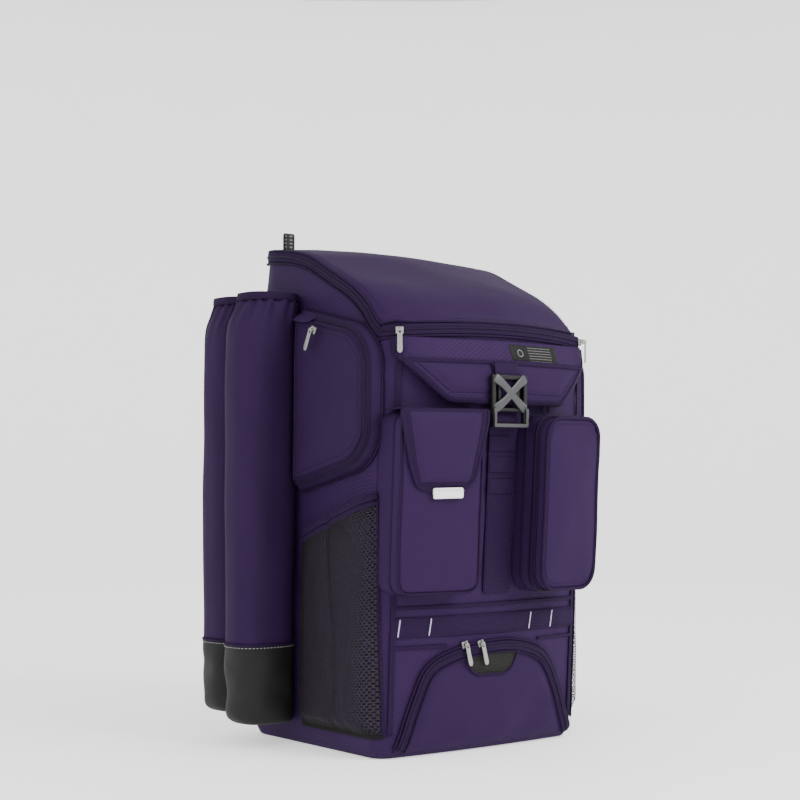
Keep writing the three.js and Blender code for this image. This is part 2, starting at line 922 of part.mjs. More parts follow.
function batSleeve(side, sleeve) {
  const tubeTop = sleeveTop - hemHeight;
  const tubeAt = (share) => mix(bootTop + gap, tubeTop, share);
  const tube = (inset) => [
    ...sleeveSections.map((s) =>
      sleeveRing(side, sleeve, tubeAt(s.height), s.girth, s.gather, inset),
    ),
    sleeveRing(side, sleeve, tubeTop + gap, hemGirth, 0, inset),
    sleeveRing(side, sleeve, sleeveTop, hemGirth, 0, inset),
  ];
  const inside = tube(cloth);
  inside[0] = inside[0].map(([x, y, z]) => [x, y, z - overcut]);
  inside[inside.length - 1] = inside.at(-1).map(([x, y, z]) => [x, y, z + overcut]);
  const boot = (inset, floor) =>
    bootSections.map((s, i) =>
      sleeveRing(
        side,
        sleeve,
        i ? mix(sleeve.foot, bootTop, s.height) : sleeve.foot + floor,
        s.girth,
        0,
        inset,
      ),
    );
  const bootInside = boot(cloth, cloth);
  bootInside[bootInside.length - 1] = bootInside.at(-1).map(([x, y, z]) => [x, y, z + overcut]);
  const where = `${side < 0 ? "left" : "right"}_${sleeve.name}`;
  return [
    mesh(`sleeve_${where}`, loft(tube(0)).subtract(loft(inside)), cloths.smooth),
    mesh(`boot_${where}`, loft(boot(0, 0)).subtract(loft(bootInside)), cloths.black),
  ];
}

// Places and heights are shares of the pocket's length, forward from the sleeve, and its height.
const sidePocketShape = [
  { forward: 0, height: 0, round: 5 },
  { forward: 0, height: 1, round: 5 },
  { forward: 0.74, height: 0.87, round: 30 },
  { forward: 1, height: 0.64, round: 26 },
  { forward: 1, height: 0.3, round: 26 },
  { forward: 0.74, height: 0.13, round: 30 },
];

const sideWall = (side) => (u, v, depth) => [side * (halfWidth + depth), u, v];

// The side pocket bulges from the side. The pack's side is its back, so it is open there.
function sidePocket(side) {
  const length = sidesEnd + sidePocketFront;
  const corners = sidePocketShape.map(({ forward, height, round }) => ({
    u: sidesEnd - forward * length,
    v: sidePocketFoot + height * sidePocketHeight,
    r: round,
  }));
  const depth = sidePocketDepth;
  const form = (inset) =>
    pillow(
      corners,
      [
        { depth: -depth / 2, inset },
        { depth: 0.45 * depth, inset: inset + 0.1 * sidePocketRound },
        { depth: 0.8 * depth - inset, inset: inset + 0.45 * sidePocketRound },
        { depth: depth - inset, inset: inset + sidePocketRound },
      ],
      sideWall(side),
    );
  const name = `side_pocket_${side < 0 ? "left" : "right"}`;
  return mesh(name, form(0).subtract(form(cloth)).subtract(bodyClear), cloths.smooth);
}

// Everything above the mesh pocket's slanting mouth, raised by lift.
function aboveMouth(side, lift) {
  const rear = sidesEnd + bodyDepth;
  const front = -bodyDepth;
  const mouth = (y) => meshRear + lift + (sidesEnd - y) * meshRise;
  const reach = [0, side * bodyWidth];
  return loft(
    reach.map((x) => [
      [x, rear, mouth(rear)],
      [x, front, mouth(front)],
      [x, front, 2 * bodyHeight],
      [x, rear, 2 * bodyHeight],
    ]),
  );
}

function meshPocket(side) {
  const top = meshRear + (sidesEnd + meshFront) * meshRise + 2 * bindingHeight;
  const corners = [
    { u: sidesEnd, v: meshFoot, r: 10 },
    { u: -meshFront, v: meshFoot, r: 16 },
    { u: -meshFront, v: top, r: 4 },
    { u: sidesEnd, v: top, r: 4 },
  ];
  const depth = meshDepth;
  const form = (inset) =>
    pillow(
      corners,
      [
        { depth: -depth / 2, inset },
        { depth: 0.4 * depth, inset: inset + 0.06 * meshRound },
        { depth: 0.85 * depth - inset, inset: inset + 0.33 * meshRound },
        { depth: depth - inset, inset: inset + meshRound },
      ],
      sideWall(side),
    );
  const where = side < 0 ? "left" : "right";
  const shell = form(0).subtract(form(meshWall)).subtract(bodyClear);
  const band = form(-gap).subtract(form(meshWall)).subtract(bodyClear);
  return [
    mesh(`mesh_pocket_${where}`, shell.subtract(aboveMouth(side, 0)), cloths.mesh),
    mesh(
      `mesh_binding_${where}`,
      band.intersect(aboveMouth(side, gap)).subtract(aboveMouth(side, bindingHeight)),
      cloths.webbing,
    ),
  ];
}

// Back

function backPad() {
  const half = padWidth / 2;
  const top = padFoot + padHeight;
  const corners = [
    { u: -half, v: padFoot, r: padCorner },
    { u: half, v: padFoot, r: padCorner },
    { u: half, v: top, r: padCorner },
    { u: -half, v: top, r: padCorner },
  ];
  const pad = pillow(
    corners,
    [
      { depth: gap, inset: 0 },
      { depth: 0.6 * padThickness, inset: 0 },
      { depth: padThickness, inset: 8 },
    ],
    (u, v, depth) => [u, halfDepth + depth, v],
  );
  return mesh("back_pad", pad, cloths.black);
}

// A flat strap through the rows of a path. Each row is { x, y, z, width }.
function flatStrap(rows, thickness) {
  return loft(
    rows.map((row, i) => {
      const before = rows[Math.max(0, i - 1)];
      const after = rows[Math.min(rows.length - 1, i + 1)];
      const along = new THREE.Vector3(
        after.x - before.x,
        after.y - before.y,
        after.z - before.z,
      ).normalize();
      const across = new THREE.Vector3(1, 0, 0)
        .addScaledVector(along, -along.x)
        .normalize();
      const out = new THREE.Vector3().crossVectors(across, along);
      const half = row.width / 2;
      const soft = Math.min(half, thickness) / 3;
      return [
        [-half, -thickness / 2 + soft],
        [-half + soft, -thickness / 2],
        [half - soft, -thickness / 2],
        [half, -thickness / 2 + soft],
        [half, thickness / 2 - soft],
        [half - soft, thickness / 2],
        [-half + soft, thickness / 2],
        [-half, thickness / 2 - soft],
      ].map(([a, b]) => [
        row.x + a * across.x + b * out.x,
        row.y + a * across.y + b * out.y,
        row.z + a * across.z + b * out.z,
      ]);
    }),
  );
}

// The padded strap from its anchor on the back wall down to its lower end. Heights and places
// across are shares of the way up and inwards, bows are shares of the full bow.
const shoulderPath = [
  { height: 1, inward: 1, bow: 0, width: 1 },
  { height: 0.94, inward: 1, bow: 0, width: 1 },
  { height: 0.87, inward: 0.98, bow: 0.32, width: 1 },
  { height: 0.76, inward: 0.88, bow: 0.74, width: 1.04 },
  { height: 0.6, inward: 0.68, bow: 0.98, width: 1.04 },
  { height: 0.42, inward: 0.44, bow: 1, width: 1 },
  { height: 0.22, inward: 0.2, bow: 0.84, width: 0.86 },
  { height: 0.07, inward: 0.05, bow: 0.66, width: 0.66 },
  { height: 0, inward: 0, bow: 0.58, width: 0.58 },
];

function shoulderStrap(side) {
  const where = side < 0 ? "left" : "right";
  const wallSide = halfDepth + gap + shoulderThickness / 2;
  const rows = shoulderPath.map(({ height, inward, bow, width }) => ({
    x: side * mix(strapFootOffset, strapTopOffset, inward),
    y: wallSide + bow * shoulderBow,
    z: mix(shoulderFoot, shoulderTop, height),
    width: width * shoulderWidth,
  }));
  const end = rows.at(-1);
  // The ladder lock hangs off the strap's end, and its webbing runs down to the base.
  const lockTop = end.z - strapEndSlack;
  const lock = new THREE.BoxGeometry(lockWidth, lockThickness, lockHeight);
  const lockMesh = new THREE.Mesh(lock, cloths.plastic);
  lockMesh.name = `ladder_lock_${where}`;
  lockMesh.position.set(end.x, end.y, lockTop - lockHeight / 2);
  const webTop = lockTop - lockHeight - 0.73 * strapEndSlack;
  const webRows = [0, 0.12, 0.55, 0.88, 1].map((share) => ({
    x: side * mix(strapFootOffset, adjusterOffset, share),
    y: mix(end.y, halfDepth + gap + webbing, Math.min(1, share / 0.88)),
    z: mix(webTop, adjusterFoot, share),
    width: adjusterWidth,
  }));
  return [
    mesh(`shoulder_strap_${where}`, flatStrap(rows, shoulderThickness), cloths.black),
    lockMesh,
    mesh(`adjuster_webbing_${where}`, flatStrap(webRows, webbing), cloths.black),
  ];
}

// A folded strip of webbing that stands up from the back edge of the lid.
function hangLoop() {
  const inner = loopGap / 2;
  const outer = inner + webbing;
  const straight = loopHeight - outer;
  const profile = new THREE.Shape()
    .moveTo(-outer, 0)
    .lineTo(-inner, 0)
    .lineTo(-inner, straight)
    .absarc(0, straight, inner, Math.PI, 0, true)
    .lineTo(inner, 0)
    .lineTo(outer, 0)
    .lineTo(outer, straight)
    .absarc(0, straight, outer, 0, Math.PI, false);
  const geometry = new THREE.ExtrudeGeometry(profile, {
    depth: loopWidth,
    bevelEnabled: false,
    curveSegments: 6,
  })
    .translate(0, 0, -loopWidth / 2)
    .rotateX(Math.PI / 2)
    .rotateZ(Math.PI / 2);
  const crown = roofCrown * (1 - (loopOffset / halfWidth) ** 2);
  const made = mesh("hang_loop", solidOf(geometry), cloths.black);
  made.position.set(loopOffset, halfDepth - 2 * outer, bodyHeight + crown + gap);
  return made;
}

// Zip sliders and pull tabs

// The pin stands rise above the cloth. The tab hangs from it along hang, and swings out.
const doorTop = doorFoot + doorHeight;
const doorHang = new THREE.Vector3(0.26, 0, -1);
const sideHang = new THREE.Vector3(0, 0.5, -1);
const lidPullAcross = flapWidth / 2 - tabWidth;
const sidePullForward = 0.4;

// The way that the front faces at a place across it, level with the floor.
function frontOut(x, z) {
  const step = 1;
  const slope = (frontY(x + step, z) - frontY(x - step, z)) / (2 * step);
  return new THREE.Vector3(slope, -1, 0).normalize();
}

function pullPlaces() {
  const places = [];
  for (const side of [-1, 1]) {
    const where = side < 0 ? "left" : "right";
    const x = side * lidPullAcross;
    places.push({
      name: `lid_${where}`,
      at: [x, frontY(x, zipLine) - zipProud - 3 * gap, zipLine - gap],
      out: frontOut(x, zipLine),
      hang: new THREE.Vector3(0, 0, -1),
      rise: lidPullRise,
    });
    const length = sidesEnd + sidePocketFront;
    places.push({
      name: `side_${where}`,
      at: [
        side * (halfWidth + sidePocketDepth + gap),
        sidesEnd - sidePullForward * length,
        sidePocketFoot + mix(1, 0.87, sidePullForward / 0.74) * sidePocketHeight - 17,
      ],
      out: new THREE.Vector3(side, 0, 0),
      hang: sideHang,
      rise: sidePullRise,
    });
  }
  for (const [name, x] of [
    ["door_a", -0.16 * doorWidth],
    ["door_b", -0.075 * doorWidth],
  ]) {
    const z = doorTop - 1;
    places.push({
      name,
      at: [x, frontY(x, z) - doorProud - gap, z],
      out: new THREE.Vector3(0, -1, 0),
      hang: doorHang,
      rise: doorPullRise,
    });
  }
  return places;
}

// The slider's base, its two ears and the pin between them. In its own frame the pin lies
// along z, the tab hangs along x, and y points out of the cloth.
function sliderSolid(rise) {
  const reach = eyeRadius + eyeWall;
  const inner = tabWidth / 2 + earGap;
  const length = 2 * (inner + earThickness);
  const base = new THREE.BoxGeometry(sliderLength, sliderBase, length).translate(
    0,
    sliderBase / 2,
    0,
  );
  const ears = [-1, 1].map((side) =>
    new THREE.BoxGeometry(2 * reach, rise + pinRadius, earThickness).translate(
      0,
      (rise + pinRadius) / 2,
      side * (inner + earThickness / 2),
    ),
  );
  const pin = new THREE.CylinderGeometry(pinRadius, pinRadius, length - earThickness, 6)
    .rotateX(Math.PI / 2)
    .translate(0, rise, 0);
  return [base, ...ears, pin].map(solidOf).reduce((whole, piece) => whole.add(piece));
}

// The tab is one flat strip with a rolled eye round the pin.
function tabSolid() {
  const roll = eyeRadius + eyeWall;
  const half = tabThickness / 2;
  const start = Math.asin(half / roll);
  const profile = new THREE.Shape()
    .moveTo(tabLength, -half)
    .lineTo(tabLength, half)
    .lineTo(roll * Math.cos(start), half)
    .absarc(0, 0, roll, start, 2 * Math.PI - start, false);
  profile.holes.push(new THREE.Path().absarc(0, 0, eyeRadius, 0, 2 * Math.PI, true));
  const strip = new THREE.ExtrudeGeometry(profile, {
    depth: tabWidth,
    bevelEnabled: false,
    curveSegments: 4,
  }).translate(0, 0, -tabWidth / 2);
  return solidOf(strip);
}

function zipPulls() {
  return pullPlaces().map(({ name, at, out, hang, rise }) => {
    const holder = new THREE.Group();
    const along = hang.clone().normalize();
    const pin = new THREE.Vector3().crossVectors(along, out);
    holder.applyMatrix4(new THREE.Matrix4().makeBasis(along, out, pin));
    holder.position.set(...at);
    const tab = mesh(`pull_${name}`, tabSolid(), cloths.metal);
    tab.position.y = rise;
    holder.add(mesh(`slider_${name}`, sliderSolid(rise), cloths.metal), tab);
    return holder;
  });
}

const backpack = new THREE.Group();
backpack.add(
  ...mainCompartment(),
  frontFlap(),
  labelPatch(),
  ...closureStraps(),
  buckle(),
  ...ladder(),
  ...leftPocketPieces(),
  mesh("right_pocket", boxPocket(rightPocket, false), cloths.smooth),
  ...[-1, 1].flatMap((side) => [
    ...sleeves.flatMap((sleeve) => batSleeve(side, sleeve)),
    sidePocket(side),
    ...meshPocket(side),
    ...shoulderStrap(side),
  ]),
  backPad(),
  hangLoop(),
  ...zipPulls(),
);

export default backpack;
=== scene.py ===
"""A bat backpack in cloth, webbing and mesh, built round its solid parts."""

import json
import math

import bmesh
import bpy
import numpy as np
from bpy.props import FloatProperty, FloatVectorProperty, IntProperty, PointerProperty
from mathutils import Matrix, Vector, noise


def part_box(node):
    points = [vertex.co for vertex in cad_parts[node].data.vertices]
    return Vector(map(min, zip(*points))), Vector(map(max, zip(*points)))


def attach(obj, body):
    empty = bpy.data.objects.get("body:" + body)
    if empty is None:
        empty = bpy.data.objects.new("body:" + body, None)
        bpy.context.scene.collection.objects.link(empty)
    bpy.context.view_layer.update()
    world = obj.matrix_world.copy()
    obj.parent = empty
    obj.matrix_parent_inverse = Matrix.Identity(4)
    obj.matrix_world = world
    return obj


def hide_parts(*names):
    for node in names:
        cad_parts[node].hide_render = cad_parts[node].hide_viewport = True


bl_info = {
    "name": "Bat Backpack",
    "version": (1, 0, 0),
    "blender": (4, 5, 0),
    "location": "View3D > Sidebar > Bat Backpack",
    "description": "Sews a bat backpack out of cloth, webbing and mesh round its solid parts",
    "category": "Add Mesh",
}

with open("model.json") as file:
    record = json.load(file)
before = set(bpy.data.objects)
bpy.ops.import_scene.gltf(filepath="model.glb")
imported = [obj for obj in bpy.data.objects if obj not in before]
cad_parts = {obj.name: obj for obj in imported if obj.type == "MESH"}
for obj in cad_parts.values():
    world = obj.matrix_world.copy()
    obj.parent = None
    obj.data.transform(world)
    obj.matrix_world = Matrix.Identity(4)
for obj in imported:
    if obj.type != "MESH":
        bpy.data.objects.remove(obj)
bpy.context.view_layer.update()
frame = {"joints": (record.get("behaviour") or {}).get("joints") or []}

PACK = "pack"
MM = 0.001
TAU = 2 * math.pi
AHEAD, BEHIND, UP = Vector((0, -1, 0)), Vector((0, 1, 0)), Vector((0, 0, 1))


# Sizes and colours


def size_of(name, description, default):
    return FloatProperty(name=name, description=description, default=default, unit="LENGTH")


def colour_of(name, description, default):
    return FloatVectorProperty(
        name=name, description=description, default=default, size=3, subtype="COLOR"
    )


class PackSizes(bpy.types.PropertyGroup):
    """Sizes of the backpack that its cloth is cut to."""

    body_width: size_of("Body Width", "Width of the main compartment", 0.336)
    body_depth: size_of("Body Depth", "Depth of the main compartment at its base", 0.300)
    body_height: size_of("Body Height", "Height of the back of the lid", 0.655)
    roof_fall: size_of("Roof Fall", "Drop of the lid from back to front", 0.121)
    front_bulge: size_of("Front Bulge", "How far the front swells between its corners", 0.026)
    sleeve_width: size_of("Sleeve Width", "Width of a tall sleeve along the side", 0.072)
    sleeve_top: size_of("Sleeve Top", "Height of the sleeves' hems", 0.588)
    boot_top: size_of("Boot Top", "Height where the black boots end", 0.133)
    gathers: IntProperty(
        name="Gathers", description="Pleats that the elastic draws in at a hem", default=15, min=4, max=40
    )
    crumple: size_of("Crumple", "Depth of the soft creases in the cloth", 0.0011)
    stitch: size_of("Stitch", "Length of one stitch", 0.0032)


class PackColours(bpy.types.PropertyGroup):
    """Colours of the backpack's cloths, threads and metal."""

    cloth: colour_of("Cloth", "Smooth coated cloth", (0.0190, 0.0072, 0.0345))
    ripstop: colour_of("Ripstop", "Ripstop of the body", (0.0155, 0.0054, 0.0290))
    binding: colour_of("Binding", "Binding and webbing", (0.0125, 0.0046, 0.0235))
    black: colour_of("Black", "Black coated cloth", (0.0065, 0.0065, 0.0066))
    net: colour_of("Mesh", "Mesh of the side pockets", (0.0150, 0.0145, 0.0130))
    thread: colour_of("Thread", "Lavender thread of the bar tacks", (0.55, 0.50, 0.68))
    tab: colour_of("Tab", "Light pull tab", (0.80, 0.80, 0.79))
    metal: colour_of("Metal", "Zinc of the zip pulls", (0.30, 0.30, 0.29))
    buckle: colour_of("Buckle", "Grey of the buckle's cross", (0.026, 0.027, 0.029))


# Shapes that the pieces share


def mix(first, second, share):
    return first + (second - first) * share


def clamp(value, low=0.0, high=1.0):
    return max(low, min(high, value))


def ease(value):
    value = clamp(value)
    return value * value * (3 - 2 * value)


def bowed(value, power):
    """A sine or cosine pushed out towards the corners of a box with round corners."""
    return math.copysign(abs(value) ** (2 / power), value)


def crease(point, scale, amount, seed=0.0):
    """A soft crease: how far the cloth stands out at a point."""
    return amount * noise.noise(Vector((point[0], point[1], point[2])) / scale + Vector((seed, seed, seed)))


# Shares of the body's height, half width, half depth, front bulge and back corners' radius.
BODY_ROWS = {
    "height": (0, 0.02, 0.14, 0.26, 0.5, 0.68, 0.8, 1.04),
    "width": (0.955, 1, 1.003, 1, 0.986, 0.977, 0.97, 0.925),
    "front": (0.945, 0.993, 1.01, 1.03, 1.075, 1.11, 1.12, 1.12),
    "back": (0.955, 1, 1, 1, 1, 1, 1, 1),
    "bulge": (0.3, 0.42, 0.66, 0.8, 0.92, 1, 0.94, 0.9),
    "round": (1, 1, 1, 1, 1.1, 1.25, 1.4, 2.1),
}
# Shares of the way forward over the roof, and of its fall.
ROOF_ROWS = {
    "depth": (0, 0.18, 0.33, 0.45, 0.6, 0.77, 0.88, 0.953, 1),
    "height": (1, 0.985, 0.935, 0.86, 0.675, 0.47, 0.29, 0.1, 0),
}
FRONT_CORNER = 18 * MM
BACK_CORNER = 32 * MM
ROOF_CROWN = 8 * MM
LID_SKIRT = 5 * MM
BULGE_POWER = 2.2
# Steps of the ring round the body: front corner, front, front corner, side, back corner, back.
CORNER_STEPS, FRONT_STEPS, SIDE_STEPS, BACK_CORNER_STEPS, BACK_STEPS = 5, 26, 16, 6, 14


def even(rows, key, by, at, soft):
    """A column of a table at a place, with its kinks eased over a distance."""
    return sum(np.interp(at + shift, rows[by], rows[key]) for shift in (-soft, 0, soft)) / 3


class PackForm:
    """The soft box that everything is sewn to."""

    def __init__(self, sizes):
        self.half_width = sizes.body_width / 2
        self.half_depth = sizes.body_depth / 2
        self.height = sizes.body_height
        self.fall = sizes.roof_fall
        self.bulge = sizes.front_bulge
        self.roof_edge = self.height - self.fall
        self.zip_line = self.roof_edge - LID_SKIRT
        self.known = {}

    def section(self, z):
        """Half width, front, back, bulge and back corners' radius at a height."""
        level = round(z, 4)
        if level not in self.known:
            at = level / self.height
            row = {key: even(BODY_ROWS, key, "height", at, 0.008) for key in BODY_ROWS if key != "height"}
            self.known[level] = (
                row["width"] * self.half_width,
                row["front"] * self.half_depth,
                row["back"] * self.half_depth,
                row["bulge"] * self.bulge,
                row["round"] * BACK_CORNER,
            )
        return self.known[level]

    def front_y(self, x, z):
        half, front, _, bulge, _ = self.section(z)
        across = min(abs(x), half)
        past = max(0.0, across - (half - FRONT_CORNER))
        corner = FRONT_CORNER - math.sqrt(max(0.0, FRONT_CORNER**2 - past**2))
        return -(front - corner + bulge * (1 - (across / half) ** BULGE_POWER))

    def on_front(self, x, z, out=0.0):
        return Vector((x, self.front_y(x, z) - out, z))

    def front_out(self, x, z):
        step = MM
        slope = (self.front_y(x + step, z) - self.front_y(x - step, z)) / (2 * step)
        return Vector((slope, -1, 0)).normalized()

    def side_x(self, y, z):
        half, front, back, _, rounded = self.section(z)
        reach = max(0.0, -y - (front - FRONT_CORNER))
        corner = FRONT_CORNER - math.sqrt(max(0.0, FRONT_CORNER**2 - min(reach, 0.9 * FRONT_CORNER) ** 2))
        reach = max(0.0, y - (back - rounded))
        corner += rounded - math.sqrt(max(0.0, rounded**2 - min(reach, rounded) ** 2))
        return half - corner

    def ring(self, z, out=0.0):
        """The outline round the body at a height, from its front left corner, turning right."""
        half, front, back, bulge, rounded = self.section(z)
        half, front, back = half + out, front + out, back + out
        fore, aft = FRONT_CORNER + out, rounded + out
        points = []

        def arc(x, y, radius, start, steps):
            for k in range(steps + 1):
                angle = start + k * math.pi / 2 / steps
                points.append((x + radius * math.cos(angle), y + radius * math.sin(angle)))

        def line(end, steps):
            x, y = points[-1]
            for k in range(1, steps):
                points.append((mix(x, end[0], k / steps), mix(y, end[1], k / steps)))

        arc(-half + fore, -front + fore, fore, math.pi, CORNER_STEPS)
        line((half - fore, -front), FRONT_STEPS)
        arc(half - fore, -front + fore, fore, -math.pi / 2, CORNER_STEPS)
        line((half, back - aft), SIDE_STEPS)
        arc(half - aft, back - aft, aft, 0, BACK_CORNER_STEPS)
        line((-half + aft, back), BACK_STEPS)
        arc(-half + aft, back - aft, aft, math.pi / 2, BACK_CORNER_STEPS)
        line((-half, -front + fore), SIDE_STEPS)

        def swell(x):
            return bulge * (1 - min(1.0, abs(x) / half) ** BULGE_POWER)

        return [(x, y - swell(x) if y < 0 else y) for x, y in points]

    def roof_z(self, x, y):
        front = self.front_y(x, self.roof_edge)
        depth = clamp((self.half_depth - y) / (self.half_depth - front))
        crown = ROOF_CROWN * (1 - min(1.0, (x / self.half_width) ** 2))
        return self.roof_edge + even(ROOF_ROWS, "height", "depth", depth, 0.03) * self.fall + crown

    def rim(self, index, drop, out=0.0):
        """A point of the ring, so far down the cloth from the roof's edge, and the way that it faces."""
        z = self.roof_edge
        for _ in range(3):
            ring = self.ring(z)
            before, after = ring[index - 1], ring[(index + 1) % len(ring)]
            fall = self.roof_z(*after) - self.roof_z(*before)
            steep = math.hypot(fall / math.dist(before, after), 1)
            z = self.roof_z(*ring[index]) - drop * steep
        ring = self.ring(z, out)
        x, y = ring[index]
        before, after = ring[index - 1], ring[(index + 1) % len(ring)]
        along = Vector((after[0] - before[0], after[1] - before[1], 0)).normalized()
        return Vector((x, y, z)), Vector((along.y, -along.x, 0))


def zip_run(form):
    """The ring's places that the lid's zip passes: up one side, across the front and back down the other."""
    count = len(form.ring(form.roof_edge))
    lead = SIDE_STEPS + BACK_CORNER_STEPS // 2
    return list(range(count - lead, count)) + list(range(2 * CORNER_STEPS + FRONT_STEPS + lead))


# Mesh making


RANKING = Vector((1, 31.7, 977.3))  # no two places of a mesh come out alike along it

def material_of(name):
    """A finish by its name, made the first time that a piece asks for it."""
    made = bpy.data.materials.get(f"{name} finish")
    return made or FINISHES[name](f"{name} finish")


def finished(mesh, name, finish, body=PACK, replaces=(), wall=0.0, smooth=1, soft=None):
    """Makes an object of a bmesh: its finish, its wall, its smoothing and the body that it rides on."""
    data = bpy.data.meshes.new(name)
    mesh.to_mesh(data)
    mesh.free()
    piece = bpy.data.objects.new(name, data)
    bpy.context.scene.collection.objects.link(piece)
    data.materials.append(material_of(finish))
    data.polygons.foreach_set("use_smooth", [True] * len(data.polygons))
    if smooth:
        rounder = piece.modifiers.new("Smooth", "SUBSURF")
        rounder.levels = rounder.render_levels = smooth
    if wall:
        thick = piece.modifiers.new("Wall", "SOLIDIFY")
        thick.thickness, thick.offset = wall, -1
    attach(piece, body)
    if replaces:
        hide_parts(*replaces)
    return piece


def cloth_mesh(columns, rows, place, size):
    """A grid of cloth. place gives the point at shares s across and t up, size its width and height."""
    mesh = bmesh.new()
    bmesh.ops.create_grid(mesh, x_segments=columns, y_segments=rows, size=0.5)
    weave = mesh.loops.layers.uv.new("weave")
    for face in mesh.faces:
        for loop in face.loops:
            loop[weave].uv = ((loop.vert.co.x + 0.5) * size[0], (loop.vert.co.y + 0.5) * size[1])
    for vert in mesh.verts:
        vert.co = place(vert.co.x + 0.5, vert.co.y + 0.5)
    bmesh.ops.remove_doubles(mesh, verts=mesh.verts, dist=1e-6)
    return mesh


def close_foot(mesh, level, *insets):
    """Fills the open end that stands at a level, with a ring of faces for each inset."""
    rim = [e for e in mesh.edges if e.is_boundary and max(v.co.z for v in e.verts) < level + 1 * MM]
    sole = bmesh.ops.edgeloop_fill(mesh, edges=rim)["faces"]
    for width in insets:
        bmesh.ops.inset_region(mesh, faces=sole, thickness=width, depth=0)
    bmesh.ops.recalc_face_normals(mesh, faces=mesh.faces)


def in_order(mesh):
    """Puts a bmesh in order of place, where an extrusion gives another order on each run."""

    def rank(item):
        corners = getattr(item, "verts", [item])
        return sum(vert.co.dot(RANKING) for vert in corners) / len(corners)

    for items in (mesh.verts, mesh.edges, mesh.faces):
        items.sort(key=rank)
        items.index_update()


def cloth(name, columns, rows, place, size, finish, **options):
    return finished(cloth_mesh(columns, rows, place, size), name, finish, **options)


def spine(points, outs, closed=False):
    """The frames along a path: each point with the way across it and the way out of the cloth."""
    points = [Vector(point) for point in points]
    count = len(points)
    frames = []
    for i, point in enumerate(points):
        if closed:
            before, after = points[i - 1], points[(i + 1) % count]
        else:
            before, after = points[max(0, i - 1)], points[min(count - 1, i + 1)]
        along = (after - before).normalized()
        out = Vector(outs[i] if isinstance(outs, list) else outs)
        out = (out - along * out.dot(along)).normalized()
        frames.append((point, out.cross(along), out))
    return frames


def round_section(radius, sides=8):
    return [(radius * math.cos(TAU * k / sides), radius * math.sin(TAU * k / sides)) for k in range(sides)]


def flat_section(width, thickness, sides=12, power=5.0, lift=0.0):
    angles = [TAU * (k + 0.5) / sides for k in range(sides)]
    return [
        (bowed(math.cos(a), power) * width / 2, bowed(math.sin(a), power) * thickness / 2 + lift)
        for a in angles
    ]


def sweep_mesh(frames, section, closed=False, scales=None):
    """A strip or cord: a closed section carried along the frames of a path."""
    count, sides = len(frames), len(section)
    rows = count if closed else count - 1
    lengths = [0.0]
    for i in range(1, count + 1):
        lengths.append(lengths[-1] + (frames[i % count][0] - frames[i - 1][0]).length)
    girth = sum((Vector(section[i]) - Vector(section[i - 1])).length for i in range(sides))
    mesh = bmesh.new()
    bmesh.ops.create_grid(mesh, x_segments=sides, y_segments=rows, size=0.5)
    weave = mesh.loops.layers.uv.new("weave")
    for face in mesh.faces:
        for loop in face.loops:
            row = round((loop.vert.co.y + 0.5) * rows)
            loop[weave].uv = ((loop.vert.co.x + 0.5) * girth, lengths[row])
    for vert in mesh.verts:
        row = round((vert.co.y + 0.5) * rows) % count
        a, b = section[round((vert.co.x + 0.5) * sides) % sides]
        point, across, out = frames[row]
        wide, deep = scales[row] if scales else (1.0, 1.0)
        vert.co = point + across * (a * wide) + out * (b * deep)
    bmesh.ops.remove_doubles(mesh, verts=mesh.verts, dist=1e-6)
    if not closed:
        bmesh.ops.holes_fill(mesh, edges=mesh.edges, sides=0)
    bmesh.ops.recalc_face_normals(mesh, faces=mesh.faces)
    return mesh


def sweep(name, frames, section, finish, closed=False, scales=None, smooth=0, **options):
    return finished(sweep_mesh(frames, section, closed, scales), name, finish, smooth=smooth, **options)


def strip(name, points, outs, section, finish, closed=False, **options):
    """A strip or cord along points, with the way out of the cloth at each, or one way for all."""
    return sweep(name, spine(points, outs, closed), section, finish, closed=closed, **options)


def merged(meshes):
    """One bmesh of several."""
    whole = bmesh.new()
    for mesh in meshes:
        data = bpy.data.meshes.new("part")
        mesh.to_mesh(data)
        mesh.free()
        whole.from_mesh(data)
        bpy.data.meshes.remove(data)
    return whole


STITCH_SPACE = 0.55  # gap between stitches, as a share of one
THREAD = 0.45 * MM


def stitches(name, runs, finish):
    """Rows of thread. Each run is the points of a seam and the way out of the cloth there."""
    length = bpy.context.scene.pack_sizes.stitch
    rows = []
    for points, outs in runs:
        mesh = bmesh.new()
        rows.append(mesh)
        frames = spine(points, outs)
        pitch = length * (1 + STITCH_SPACE)
        travelled, due = 0.0, pitch / 2
        for (start, _, out), (end, _, _) in zip(frames, frames[1:]):
            span = (end - start).length
            while span > 0 and due <= travelled + span:
                at = start.lerp(end, (due - travelled) / span)
                along = (end - start).normalized()
                turn = Matrix((along, out.cross(along), out)).transposed().to_4x4()
                scale = Matrix.Diagonal((length / 2, THREAD, THREAD, 1))
                spot = Matrix.Translation(at) @ turn @ scale
                bmesh.ops.create_icosphere(mesh, subdivisions=1, radius=1, matrix=spot)
                due += pitch
            travelled += span
    return finished(merged(rows), name, finish, smooth=0)


def bar_mesh(size, place, bevel=0.0, segments=2):
    """A block with eased edges."""
    mesh = bmesh.new()
    bmesh.ops.create_cube(mesh, size=1, matrix=place @ Matrix.Diagonal((*size, 1)))
    if bevel:
        bmesh.ops.bevel(
            mesh,
            geom=mesh.edges[:],
            offset=bevel,
            affect="EDGES",
            segments=segments,
            profile=0.5,
            material=-1,
        )
    return mesh


# Pockets: a panel with a gusset behind it, from one grid


PANEL = 0.72  # share of the grid that is the panel, the rest is the gusset


